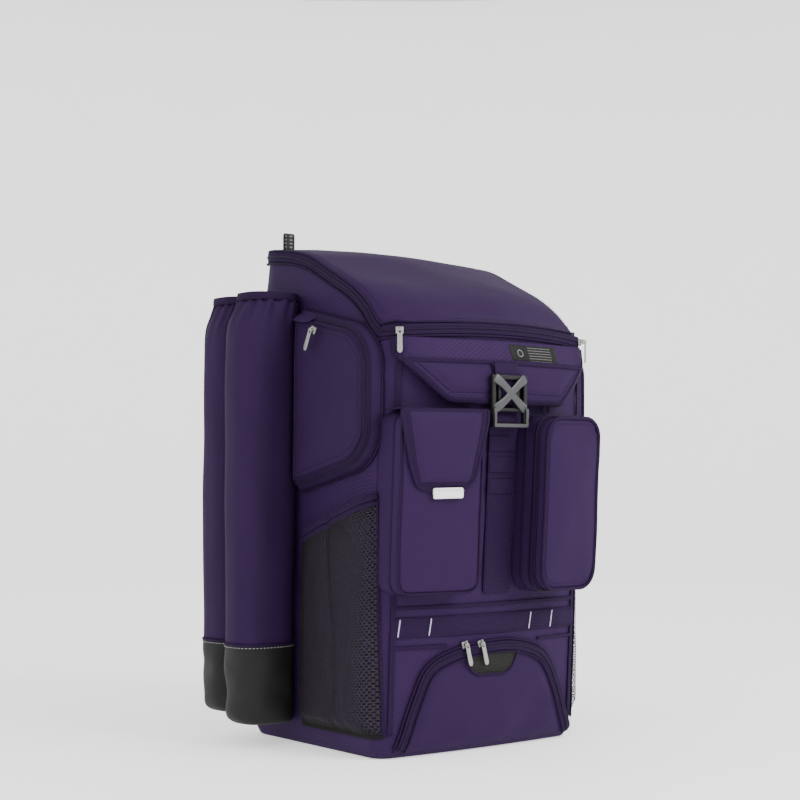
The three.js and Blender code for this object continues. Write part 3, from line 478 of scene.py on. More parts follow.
def rounded_box(half_width, half_height, radius):
    """An outline: the point at a and b, one of which is 1 or -1, on a box with round corners."""

    def place(a, b):
        x, y = abs(a) * half_width, abs(b) * half_height
        past_x, past_y = x - (half_width - radius), y - (half_height - radius)
        if past_x > 0 and past_y > 0:
            angle = math.atan2(past_y, past_x)
            x = half_width - radius + radius * math.cos(angle)
            y = half_height - radius + radius * math.sin(angle)
        return math.copysign(x, a), math.copysign(y, b)

    return place


def pocket(name, columns, rows, outline, taper, depth, dome, root, place, size, finish, **options):
    """A pocket's panel and gusset. outline is its foot, taper how much smaller its panel is, dome how far
    the panel swells and root how deep the gusset starts. place puts u, v and depth in the pack."""

    def point(s, t):
        a, b = 2 * s - 1, 2 * t - 1
        reach = max(abs(a), abs(b), 1e-9)
        u, v = outline(a / reach, b / reach)
        if reach <= PANEL:
            share = reach / PANEL
            edge = 1 - taper
            swell = (1 - share**2) * dome
            return place(u * share * edge, v * share * edge, depth + swell)
        back = (reach - PANEL) / (1 - PANEL)
        deep = mix(depth, root, back)
        width = gusset_share(taper, depth, root, deep)
        return place(u * width, v * width, deep)

    return cloth(name, columns, rows, point, size, finish, **options)


def gusset_share(taper, top, root, depth):
    """How wide a gusset stands at a depth, as a share of its outline."""
    back = clamp((top - depth) / (top - root))
    return 1 - taper * (1 - ease(back * 1.6))


def outline_run(outline, share, count=120):
    """Points round an outline, evenly by angle of its box."""
    run = []
    for k in range(count):
        side, at = divmod(4 * k / count, 1)
        a = 2 * at - 1
        corner = [(a, -1), (1, a), (-a, 1), (-1, -a)][int(side)]
        u, v = outline(*corner)
        run.append((u * share, v * share))
    return run


# Shader maths


class Field:
    """A value that changes over a surface, which adds its own nodes as it is worked out."""

    def __init__(self, paint, socket):
        self.paint, self.socket = paint, socket

    def __add__(self, other):
        return self.paint.maths("ADD", self, other)

    def __radd__(self, other):
        return self.paint.maths("ADD", other, self)

    def __sub__(self, other):
        return self.paint.maths("SUBTRACT", self, other)

    def __rsub__(self, other):
        return self.paint.maths("SUBTRACT", other, self)

    def __mul__(self, other):
        return self.paint.maths("MULTIPLY", self, other)

    def __rmul__(self, other):
        return self.paint.maths("MULTIPLY", other, self)

    def __truediv__(self, other):
        return self.paint.maths("DIVIDE", self, other)

    def __pow__(self, other):
        return self.paint.maths("POWER", self, other)

    def __abs__(self):
        return self.paint.maths("ABSOLUTE", self)

    def sine(self):
        return self.paint.maths("SINE", self)

    def cell(self):
        return self.paint.maths("FRACT", self)

    def above(self, limit):
        return self.paint.maths("GREATER_THAN", self, limit)

    def least(self, other):
        return self.paint.maths("MINIMUM", self, other)

    def most(self, other):
        return self.paint.maths("MAXIMUM", self, other)

    def between(self):
        return self.paint.node("ShaderNodeClamp", {}, {"Value": self})


class Paint:
    """The nodes of one material."""

    def __init__(self, name):
        self.material = bpy.data.materials.new(name)
        self.material.use_nodes = True
        self.tree = self.material.node_tree
        self.tree.nodes.clear()

    def node(self, kind, settings, sockets, output=0):
        made = self.tree.nodes.new(kind)
        for key, value in settings.items():
            setattr(made, key, value)
        for key, value in sockets.items():
            if isinstance(value, Field):
                self.tree.links.new(value.socket, made.inputs[key])
            else:
                made.inputs[key].default_value = value
        return Field(self, made.outputs[output])

    def maths(self, operation, *values):
        return self.node("ShaderNodeMath", {"operation": operation}, dict(enumerate(values)))

    def uv(self):
        """Distances along and across the cloth, in metres."""
        place = self.node("ShaderNodeUVMap", {"uv_map": "weave"}, {})
        return [self.node("ShaderNodeSeparateXYZ", {}, {0: place}, output) for output in (0, 1)]

    def place(self):
        return self.node("ShaderNodeTexCoord", {}, {}, 3)

    def patches(self, size, detail=2.0, roughness=0.5):
        """Soft patches of about that size, from 0 to 1."""
        return self.node(
            "ShaderNodeTexNoise",
            {},
            {"Vector": self.place(), "Scale": 1 / size, "Detail": detail, "Roughness": roughness},
        )

    def blend(self, share, first, second):
        colours = [value if isinstance(value, Field) else (*value, 1.0) for value in (first, second)]
        return self.node(
            "ShaderNodeMix", {"data_type": "RGBA"}, {0: share, 6: colours[0], 7: colours[1]}, 2
        )

    def bump(self, height, distance, strength=1.0):
        return self.node(
            "ShaderNodeBump", {}, {"Strength": strength, "Distance": distance, "Height": height}
        )

    def surface(self, tone, roughness, normal=None, shine=0.5, **more):
        """Ends the material. more holds other inputs of the shader by their names."""
        sockets = {"Base Color": tone, "Roughness": roughness, "Specular IOR Level": shine}
        sockets.update((key.replace("_", " "), value) for key, value in more.items())
        if normal:
            sockets["Normal"] = normal
        self.output(self.node("ShaderNodeBsdfPrincipled", {}, sockets))
        return self.material

    def output(self, shader):
        end = self.tree.nodes.new("ShaderNodeOutputMaterial")
        self.tree.links.new(shader.socket, end.inputs["Surface"])


def shade(colour, factor):
    return tuple(channel * factor for channel in colour)


def colour(name):
    return tuple(getattr(bpy.context.scene.pack_colours, name))


def threads(u, v, pitch):
    """A plain weave: how high its threads stand, from 0 to 1."""
    return (u * (TAU / pitch)).sine() * (v * (TAU / pitch)).sine() * 0.5 + 0.5


def grid_lines(u, v, pitch, width):
    """Raised lines both ways, one pitch apart."""
    near = [abs((axis / pitch).cell() - 0.5) * 2 for axis in (u, v)]
    return near[0].most(near[1]).above(1 - width / pitch)


def smooth_cloth(name, lift=1.0):
    paint = Paint(name)
    u, v = paint.uv()
    tint = colour("cloth")
    weave = threads(u, v, 1.3 * MM)
    patches = paint.patches(0.05, 3.0)
    fine = paint.patches(0.006, 2.0)
    tone = paint.blend(patches, shade(tint, 0.9 * lift), shade(tint, 1.1 * lift))
    tone = paint.blend((fine * 0.35 + weave * 0.1).between(), tone, shade(tint, 1.28 * lift))
    normal = paint.bump(weave * 0.4 + fine * 0.6 + patches * 0.8, 0.00016)
    return paint.surface(tone, fine * 0.08 + 0.62, normal, 0.07)


def ripstop_cloth(name):
    paint = Paint(name)
    u, v = paint.uv()
    tint = colour("ripstop")
    across, up = (u + v) * 0.7071, (u - v) * 0.7071
    lines = grid_lines(across, up, 4.2 * MM, 1.2 * MM)
    weave = threads(u, v, 1.4 * MM)
    patches = paint.patches(0.04, 3.0)
    fine = paint.patches(0.004, 2.0)
    tone = paint.blend(patches, shade(tint, 0.84), shade(tint, 1.12))
    tone = paint.blend((lines * 0.4 + fine * 0.25).between(), tone, shade(tint, 2.3))
    normal = paint.bump(lines * 0.6 + weave * 0.35 + fine * 0.5, 0.0003)
    return paint.surface(tone, fine * 0.12 + 0.6, normal, 0.1)


def woven_band(name, base="binding", pitch=2.2 * MM, lift=1.0):
    """Webbing or binding, ribbed across its length."""
    paint = Paint(name)
    u, v = paint.uv()
    tint = colour(base)
    ribs = (v * (TAU / pitch) + (u * (TAU / (1.6 * MM))).sine() * 0.6).sine() * 0.5 + 0.5
    patches = paint.patches(0.02, 3.0)
    tone = paint.blend(ribs * 0.6, shade(tint, 0.8 * lift), shade(tint, 1.45 * lift))
    tone = paint.blend(patches * 0.5, tone, shade(tint, 1.1 * lift))
    return paint.surface(tone, patches * 0.1 + 0.67, paint.bump(ribs, 0.0002), 0.08)


def coated_black(name):
    paint = Paint(name)
    u, v = paint.uv()
    tint = colour("black")
    weave = threads(u, v, 1.5 * MM)
    patches = paint.patches(0.03, 3.0)
    fine = paint.patches(0.003, 2.0)
    tone = paint.blend(patches, shade(tint, 0.75), shade(tint, 1.35))
    tone = paint.blend(weave * 0.3, tone, shade(tint, 2.1))
    normal = paint.bump(weave * 0.5 + fine * 0.5, 0.0003)
    return paint.surface(tone, fine * 0.15 + 0.5, normal, 0.16)


def staggered(across, up):
    """How far a point is from the nearest dot of staggered rows one unit apart, squared."""
    tall = math.sqrt(3)

    def off_dot(shift):
        near_u = (across + shift).cell() - 0.5
        near_v = ((up + shift * tall) / tall).cell() * tall - tall / 2
        return near_u * near_u + near_v * near_v

    return off_dot(0.0).least(off_dot(0.5))


def open_mesh(name, pitch=4.2 * MM, hole=0.385):
    """Knitted mesh: oval holes in staggered rows, cut right through."""
    paint = Paint(name)
    u, v = paint.uv()
    tint = colour("net")
    distance = staggered(u / (1.3 * pitch), v / pitch)
    solid = distance.above(hole**2)
    ridge = (distance * 3.2).between()
    patches = paint.patches(0.03, 3.0)
    tone = paint.blend(patches, shade(tint, 0.7), shade(tint, 1.3))
    tone = paint.blend(ridge * 0.4, tone, shade(tint, 1.7))
    return paint.surface(tone, 0.62, paint.bump(ridge, 0.0005), 0.12, Alpha=solid)


def spacer_mesh(name, pitch=4.6 * MM):
    """Padded back mesh: dimples in staggered rows, with painted shade darkening each dimple."""
    paint = Paint(name)
    u, v = paint.uv()
    tint = colour("black")
    dimple_and_shade = (staggered(u / pitch, v / pitch) * 7).between()
    patches = paint.patches(0.03, 3.0)
    # Painted shade: the colour is darkest in each dimple's hollow and lightest between the dimples.
    tone = paint.blend(dimple_and_shade, shade(tint, 0.45), shade(tint, 1.5))
    tone = paint.blend(patches * 0.4, tone, shade(tint, 1.9))
    return paint.surface(tone, 0.78, paint.bump(dimple_and_shade, 0.0009), 0.2)


def zip_coil(name):
    """A closed zip: teeth across its ridge, with painted shade in the gaps between them."""
    paint = Paint(name)
    _, v = paint.uv()
    tint = colour("binding")
    teeth_and_shade = (v * (TAU / (1.5 * MM))).sine() * 0.5 + 0.5
    # Painted shade: the gaps between the teeth are darkened and the teeth made lighter.
    tone = paint.blend(teeth_and_shade, shade(tint, 0.45), shade(tint, 1.2))
    return paint.surface(tone, 0.6, paint.bump(teeth_and_shade, 0.0003), 0.12)


def sewing_thread(name, base="thread", lift=1.0):
    paint = Paint(name)
    tint = colour(base)
    fine = paint.patches(0.0012, 2.0)
    tone = paint.blend(fine, shade(tint, 0.8 * lift), shade(tint, 1.15 * lift))
    return paint.surface(tone, 0.75, paint.bump(fine, 0.0001), 0.1)


def zinc(name):
    paint = Paint(name)
    tint = colour("metal")
    grain = paint.patches(0.0016, 4.0, 0.7)
    patches = paint.patches(0.012, 2.0)
    tone = paint.blend(grain * 0.6, shade(tint, 0.8), shade(tint, 1.1))
    rough = grain * 0.16 + patches * 0.12 + 0.3
    return paint.surface(tone, rough, paint.bump(grain, 0.00006), Metallic=0.9)


def moulded(name, base, lift, roughness, shine):
    paint = Paint(name)
    tint = colour(base)
    grain = paint.patches(0.0011, 3.0, 0.6)
    patches = paint.patches(0.02, 2.0)
    tone = paint.blend(patches, shade(tint, 0.88 * lift), shade(tint, 1.12 * lift))
    return paint.surface(tone, grain * 0.12 + roughness, paint.bump(grain, 0.00008), shine)


def light_tab(name):
    paint = Paint(name)
    u, _ = paint.uv()
    tint = colour("tab")
    ribs = (u * (TAU / (1.7 * MM))).sine() * 0.5 + 0.5
    patches = paint.patches(0.01, 2.0)
    tone = paint.blend(patches * 0.5 + ribs * 0.3, shade(tint, 0.86), shade(tint, 1.08))
    return paint.surface(tone, 0.42, paint.bump(ribs, 0.00015), Sheen_Weight=0.1)


def patterned_loop(name):
    """Black webbing with a plain woven check of small light diamonds."""
    paint = Paint(name)
    u, v = paint.uv()
    tint = colour("black")
    pitch = 5 * MM
    diamond = abs((u / pitch).cell() - 0.5) + abs((v / pitch).cell() - 0.5)
    mark = 1 - diamond.above(0.3)
    ribs = (v * (TAU / (1.4 * MM))).sine() * 0.5 + 0.5
    tone = paint.blend(mark * 0.75, shade(tint, 0.8), (0.22, 0.22, 0.2))
    tone = paint.blend(ribs * 0.2, tone, shade(tint, 2.0))
    return paint.surface(tone, 0.7, paint.bump(ribs, 0.0004))


def rubber_patch(name):
    """A dark patch with plain raised bars in place of any words."""
    paint = Paint(name)
    u, v = paint.uv()
    bars = abs((v / (3.4 * MM)).cell() - 0.5).above(0.36)
    inside = (u - 0.030).above(0.0) * (1 - (u - 0.074).above(0.0))
    dashes = (u / (2.3 * MM)).cell().above(0.3)
    mark = bars * inside * dashes
    ring_u, ring_v = u - 0.016, v - 0.0095
    radius = (ring_u * ring_u + ring_v * ring_v) ** 0.5
    ring = abs(radius - 0.0042)
    mark = mark.most(1 - ring.above(0.0006))
    patches = paint.patches(0.01, 3.0)
    tone = paint.blend(patches, (0.0048, 0.0052, 0.0050), (0.0078, 0.0082, 0.0078))
    tone = paint.blend(mark * 0.7, tone, (0.20, 0.20, 0.195))
    return paint.surface(tone, patches * 0.1 + 0.5, paint.bump(mark, 0.0002), 0.12)


def studio_floor(name):
    paint = Paint(name)
    grain = paint.patches(0.25, 2.0)
    tone = paint.blend(grain, (0.90, 0.90, 0.90), (0.93, 0.93, 0.93))
    return paint.surface(tone, 0.8, None, 0.1, Emission_Color=tone, Emission_Strength=0.7)


FINISHES = {
    "smooth": smooth_cloth,
    "smooth_dark": lambda name: smooth_cloth(name, lift=0.86),
    "ripstop": ripstop_cloth,
    "binding": woven_band,
    "webbing": lambda name: woven_band(name, pitch=2.6 * MM, lift=1.1),
    "black_webbing": lambda name: woven_band(name, base="black", pitch=2.4 * MM, lift=1.1),
    "black": coated_black,
    "net": open_mesh,
    "spacer": spacer_mesh,
    "zip": zip_coil,
    "thread": sewing_thread,
    "dark_thread": lambda name: sewing_thread(name, base="cloth", lift=1.1),
    "boot_thread": lambda name: sewing_thread(name, base="tab", lift=0.5),
    "zinc": zinc,
    "buckle_black": lambda name: moulded(name, "black", 0.7, 0.36, 0.25),
    "buckle_grey": lambda name: moulded(name, "buckle", 1.0, 0.34, 0.5),
    "tab": light_tab,
    "loop": patterned_loop,
    "patch": rubber_patch,
    "floor": studio_floor,
}


# Operators


class PackOperator:
    """What the operators share: they are undone in one step, and stop the script if they fail."""

    bl_options = {"REGISTER", "UNDO"}

    def execute(self, context):
        self.sizes = context.scene.pack_sizes
        self.form = PackForm(self.sizes)
        self.build()
        return {"FINISHED"}


class BATPACK_OT_body(PackOperator, bpy.types.Operator):
    """Sew the main compartment out of ripstop"""

    bl_idname = "batpack.body"
    bl_label = "Main Compartment"

    def build(self):
        form, crumple = self.form, self.sizes.crumple
        count = len(form.ring(0))
        rows, low = 44, 0.16  # in the lowest share the rows crowd towards the tucked base
        rims = [form.rim(i, LID_SKIRT + 1 * MM)[0].z for i in range(count)]

        def place(s, t):
            i = round(s * count) % count
            z = rims[i] * (mix(t * t / low, t, ease(t / low)) if t < low else t)
            x, y = form.ring(z)[i]
            point = Vector((x, y, z))
            away = Vector((x, y, 0)).normalized()
            corner = ease((abs(x) - 0.135) / 0.02) * ease((0.0 - y) / 0.1)
            folds = 1.4 * MM * math.sin(TAU * z / 0.031 + 2.2 * noise.noise(point / 0.05)) * corner
            folds *= ease((z - 0.19) / 0.05) * ease((0.53 - z) / 0.03)
            out = crease(point, 0.07, 1.6 * crumple) + crease(point, 0.028, 0.8 * crumple) + folds
            return point + away * (out * ease(z / 0.03) - 0.6 * MM)

        mesh = cloth_mesh(count, rows, place, (1.24, 0.62))
        close_foot(mesh, 0, 8 * MM)
        finished(mesh, "body_cloth", "ripstop", replaces=["body_shell"], wall=2.2 * MM)

        # Seams: up the front corners and across the front above the shoe space.
        runs, pipes = [], []
        for side in (-1, 1):
            heights = [mix(0.03, 0.515, k / 60) for k in range(61)]
            x = side * (form.half_width - 17 * MM)
            points = [form.on_front(x, z, 0.9 * MM) for z in heights]
            outs = [form.front_out(x, z) for z in heights]
            pipes.append(sweep_mesh(spine(points, outs), flat_section(7 * MM, 1.8 * MM)))
            for shift in (-2.4 * MM, 2.4 * MM):
                line = [form.on_front(x + shift, z, 2.0 * MM) for z in heights]
                runs.append((line, [form.front_out(x + shift, z) for z in heights]))
        xs = [mix(-0.15, 0.15, k / 50) for k in range(51)]
        points = [form.on_front(x, 0.1875, 0.9 * MM) for x in xs]
        pipes.append(sweep_mesh(spine(points, AHEAD), flat_section(5 * MM, 1.8 * MM)))
        for start, end in ((-0.150, -0.074), (0.080, 0.150)):
            points = [form.on_front(x, 0.138, 0.9 * MM) for x in np.linspace(start, end, 20)]
            pipes.append(sweep_mesh(spine(points, AHEAD), flat_section(4 * MM, 1.8 * MM)))
        finished(merged(pipes), "body_seams", "binding", smooth=0)
        stitches("body_stitching", runs, "dark_thread")


class BATPACK_OT_lid(PackOperator, bpy.types.Operator):
    """Sew the curved lid, its piped edge and the zip under it"""

    bl_idname = "batpack.lid"
    bl_label = "Lid"

    def lid_point(self, across, t):
        form = self.form
        edge = form.section(form.roof_edge)[0]
        y = mix(form.half_depth, form.front_y(across * edge, form.roof_edge), t)
        x = across * form.side_x(y, form.roof_z(edge, y))
        return Vector((x, y, form.roof_z(x, y)))

    def build(self):
        form, crumple = self.form, self.sizes.crumple

        def place(s, t):
            across = 2 * s - 1
            point = self.lid_point(across, t)
            inner = (1 - across**6) * ease(t / 0.06) * ease((1 - t) / 0.05)
            sag = crease(point, 0.11, 3.2 * crumple, 4.0) + crease(point, 0.05, 0.7 * crumple)
            return point + Vector((0, 0, sag * inner))

        mesh = cloth_mesh(46, 52, place, (0.32, 0.37))
        bmesh.ops.reverse_faces(mesh, faces=mesh.faces)
        border = [edge for edge in mesh.edges if edge.is_boundary]
        grown = bmesh.ops.extrude_edge_only(mesh, edges=border)["geom"]
        for vert in (item for item in grown if isinstance(item, bmesh.types.BMVert)):
            x, y, _ = vert.co
            slope = (form.roof_z(x, y + MM) - form.roof_z(x, y - MM)) / (2 * MM)
            steep = mix(1, math.hypot(slope, 1), ease((abs(x) / form.half_width - 0.90) / 0.05))
            vert.co += Vector((x, 0.3 * y, 0)).normalized() * 0.8 * MM - Vector((0, 0, LID_SKIRT * steep))
        in_order(mesh)
        finished(mesh, "lid_cloth", "smooth", replaces=["lid_panel"], wall=2.0 * MM)

        edge = [self.lid_point(-1, t) for t in np.linspace(0.03, 1, 60)]
        edge += [self.lid_point(a, 1) for a in np.linspace(-1, 1, 60)[1:-1]]
        edge += [self.lid_point(1, t) for t in np.linspace(1, 0.03, 60)]
        outs = [Vector((p.x, 1.2 * min(p.y, 0), 0.10)).normalized() for p in edge]
        piping = [p + out * 0.9 * MM - Vector((0, 0, 1.2 * MM)) for p, out in zip(edge, outs)]
        strip("lid_piping", piping, outs, round_section(1.5 * MM), "binding")
        inward = [p + Vector((-0.045 * p.x, -0.03 * min(p.y, 0), 0)).normalized() * 7 * MM for p in edge]
        seat = [Vector((p.x, p.y, form.roof_z(p.x, p.y) + 0.7 * MM)) for p in inward]
        stitches("lid_stitching", [(seat, Vector((0, 0, 1)))], "dark_thread")

        for name, drop, out, section, finish, nodes in (
            ("lid_zip_tape", 4 * MM, 1.0 * MM, flat_section(13 * MM, 1.6 * MM), "binding", ["lid_zip"]),
            ("lid_zip_coil", 3.5 * MM, 2.0 * MM, round_section(1.5 * MM, 6), "zip", []),
            ("lid_seam_piping", 12.5 * MM, 1.4 * MM, round_section(1.6 * MM), "binding", []),
        ):
            places = [form.rim(i, LID_SKIRT + drop, out) for i in zip_run(form)]
            frames = spine([point for point, _ in places], [facing for _, facing in places])
            sweep(name, frames, section, finish, replaces=nodes)


FLAP_BELOW_ZIP = 8 * MM
FLAP_HEIGHT = 77 * MM
FLAP_STAND_OFF = 12 * MM


class BATPACK_OT_front_flap(PackOperator, bpy.types.Operator):
    """Sew the front flap, its inset panel, its patch and its closure straps"""

    bl_idname = "batpack.front_flap"
    bl_label = "Front Flap"

    def build(self):
        form = self.form
        half = form.half_width - 10 * MM
        top = form.zip_line - FLAP_BELOW_ZIP
        foot, foot_half, upright = top - FLAP_HEIGHT, 95 * MM, 20 * MM
        slope = (FLAP_HEIGHT - upright) / (half - foot_half)

        def low(x):
            past = abs(x) - foot_half
            soft = 9 * MM
            past = past if past > soft else (past + soft) ** 2 / (4 * soft) if past > -soft else 0.0
            return foot + past * slope

        def stand(z):
            return 0.8 * MM + FLAP_STAND_OFF * clamp((top - z) / FLAP_HEIGHT)

        def on_flap(x, z, out=0.0):
            swell = 1.6 * MM * math.sin(math.pi * clamp((top - z) / FLAP_HEIGHT)) * (1 - (x / half) ** 4)
            ripple = crease((x, 0, z), 0.05, 1.1 * MM, 7.0) * clamp((top - z) / 0.03)
            return form.on_front(x, z, stand(z) + 3.6 * MM + swell + ripple + out)

        def place(s, t):
            x = half * math.sin((2 * s - 1) * math.pi / 2)
            return on_flap(x, mix(low(x), top, t))

        cloth(
            "flap_cloth",
            60,
            16,
            place,
            (2 * half, FLAP_HEIGHT),
            "ripstop",
            replaces=["front_flap"],
            wall=3.4 * MM,
        )

        rim = [(-half * 0.995, z) for z in np.linspace(top - 2 * MM, top - upright, 8)[:-1]]
        rim += [(x, low(x)) for x in half * 0.995 * np.sin(np.linspace(-math.pi / 2, math.pi / 2, 110))]
        rim += [(half * 0.995, z) for z in np.linspace(top - upright, top - 2 * MM, 8)[1:]]
        path = [on_flap(x, z, -1.6 * MM) for x, z in rim]
        outs = [Vector((0.35 * x / half, -1, -0.35)) for x, z in rim]
        strip("flap_binding", path, outs, flat_section(8.5 * MM, 5.0 * MM, 12, 3.0), "binding")
        inset = [(x * 0.965, z + 6.6 * MM) for x, z in rim[7:-7]]
        stitches(
            "flap_binding_stitching", [([on_flap(x, z, 1.1 * MM) for x, z in inset], AHEAD)], "dark_thread"
        )

        # The inset panel is proud of the flap, below a seam right across it.
        seam = top - 31 * MM
        panel_foot = foot + 9.5 * MM

        def panel_half(z):
            rise = clamp((z - panel_foot) / (seam - panel_foot))
            return mix(foot_half - 3 * MM, half - 16 * MM, rise * 0.86)

        def panel(s, t):
            z = mix(panel_foot, seam, t)
            x = (2 * s - 1) * panel_half(z)
            edge = min(1.0, 12 * min(s, 1 - s), 5 * min(t, 1 - t))
            return on_flap(x, z, 0.3 * MM + 2.0 * MM * ease(edge))

        cloth("flap_panel", 60, 14, panel, (0.26, 0.046), "smooth", wall=1.2 * MM)
        xs = np.linspace(-half + 6 * MM, half - 6 * MM, 90)
        line = [on_flap(x, seam + 2.5 * MM, 0.6 * MM) for x in xs]
        strip("flap_seam", line, AHEAD, flat_section(3.6 * MM, 1.6 * MM), "binding")
        rows = [([on_flap(x, seam + 6 * MM, 0.9 * MM) for x in xs], AHEAD)]
        stitches("flap_stitching", rows, "dark_thread")

        left, right, low_z, high_z = 8 * MM, 94 * MM, top - 24 * MM, top - 4 * MM

        def patch(s, t):
            x = mix(left, right, s) - 4 * MM * t
            edge = min(1.0, 16 * min(s, 1 - s), 6 * min(t, 1 - t))
            return on_flap(x, mix(low_z, high_z, t), 0.2 * MM + 1.0 * MM * ease(edge))

        cloth("patch", 44, 12, patch, (0.086, 0.020), "patch", replaces=["label_patch"], wall=0.8 * MM)

        # The upper strap comes down the flap and folds round the buckle's top bar.
        middle, strap = -9 * MM, flat_section(44 * MM, 1.9 * MM)
        heights = np.linspace(seam + 3 * MM, top - 44 * MM - 14 * MM, 14)
        upper = [on_flap(middle, z, 2.6 * MM) for z in heights]
        strip(
            "closure_strap_top", upper, AHEAD, strap, "webbing", replaces=["closure_strap_upper"], smooth=1
        )
        fold = [
            on_flap(middle, z, 4.8 * MM + 1.2 * MM * math.sin(math.pi * k / 9))
            for k, z in enumerate(heights[:10])
        ]
        strip("closure_strap_fold", fold, AHEAD, flat_section(42 * MM, 1.9 * MM), "webbing", smooth=1)
        base = foot + 6 * MM
        lean = [(base - k * 33 * MM / 10, 1.4 * MM + 14.4 * MM * ease(k / 10)) for k in range(11)]
        lower = [form.on_front(middle, z, out) for z, out in lean]
        strip(
            "closure_strap_base", lower, AHEAD, strap, "webbing", replaces=["closure_strap_lower"], smooth=1
        )
        tack = [on_flap(middle + x, seam - 1 * MM, 4.4 * MM) for x in np.linspace(-19 * MM, 19 * MM, 22)]
        stitches("closure_stitching", [(tack, AHEAD)], "dark_thread")


class BATPACK_OT_buckle(PackOperator, bpy.types.Operator):
    """Mould the buckle: its black frame and the grey cross over it"""

    bl_idname = "batpack.buckle"
    bl_label = "Buckle"

    def build(self):
        low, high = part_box("buckle_body")
        low, high = Vector(low), Vector(high)
        centre = (low + high) / 2
        wide, deep, tall = high - low
        place = Matrix.Translation(centre)
        rail = 6 * MM

        def block(x, z, width, height, depth, y=0.0, bevel=1.4 * MM, turn=0.0):
            spot = place @ Matrix.Translation((x, y, z)) @ Matrix.Rotation(turn, 4, "Y")
            return bar_mesh((width, depth, height), spot, bevel, 3)

        sides = [block(side * (wide - rail) / 2, 0, rail, tall, deep) for side in (-1, 1)]
        bars = [block(0, z * (tall - rail) / 2, wide - 2 * MM, rail, deep * 0.9) for z in (1, -1)]
        bars.append(block(0, -tall * 0.16, wide - 2 * MM, 5 * MM, deep * 0.8))
        prongs = [
            block(side * 15 * MM, tall * 0.12, 5 * MM, tall * 0.46, deep * 0.7, 0.8 * MM)
            for side in (-1, 1)
        ]
        finished(merged(sides + bars + prongs), "buckle_frame", "buckle_black", replaces=["buckle_body"])

        # Each arm of the cross bows out from the frame and widens towards its ends.
        low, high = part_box("buckle_cross")
        front = low[1]
        cross_tall = tall * 0.66
        top, foot = centre.z + tall / 2 - 3 * MM, centre.z + tall / 2 - cross_tall
        arms = []
        for side in (-1, 1):
            start = Vector((centre.x - side * (wide / 2 - 3 * MM), 0, top))
            end = Vector((centre.x + side * (wide / 2 - 3 * MM), 0, foot))
            points, scales = [], []
            for k in range(19):
                share = k / 18
                point = start.lerp(end, share)
                off = 2 * share - 1
                point.x += side * 1.6 * MM * math.sin(TAU * share)
                point.y = front + 1.7 * MM + 2.6 * MM * off**4 + 0.2 * MM
                points.append(point)
                scales.append((1 + 0.35 * off**2 + 0.28 * (1 - ease(abs(off) / 0.22)), 1))
            section = flat_section(9.6 * MM, 3.4 * MM, 16, 3.4)
            arms.append(sweep_mesh(spine(points, AHEAD), section, scales=scales))
        ring_low = centre.z - tall / 2 + 2.5 * MM
        ring = [block(0, ring_low - centre.z, wide - 1 * MM, 5 * MM, 4 * MM, front - centre.y + 2 * MM)]
        for side in (-1, 1):
            x, z = side * (wide / 2 - 2.4 * MM), (foot + ring_low) / 2 - centre.z
            height = foot - ring_low + 4 * MM
            ring.append(block(x, z, 4.6 * MM, height, 4 * MM, front - centre.y + 2 * MM))
        finished(merged(arms + ring), "buckle_x", "buckle_grey", replaces=["buckle_cross"])


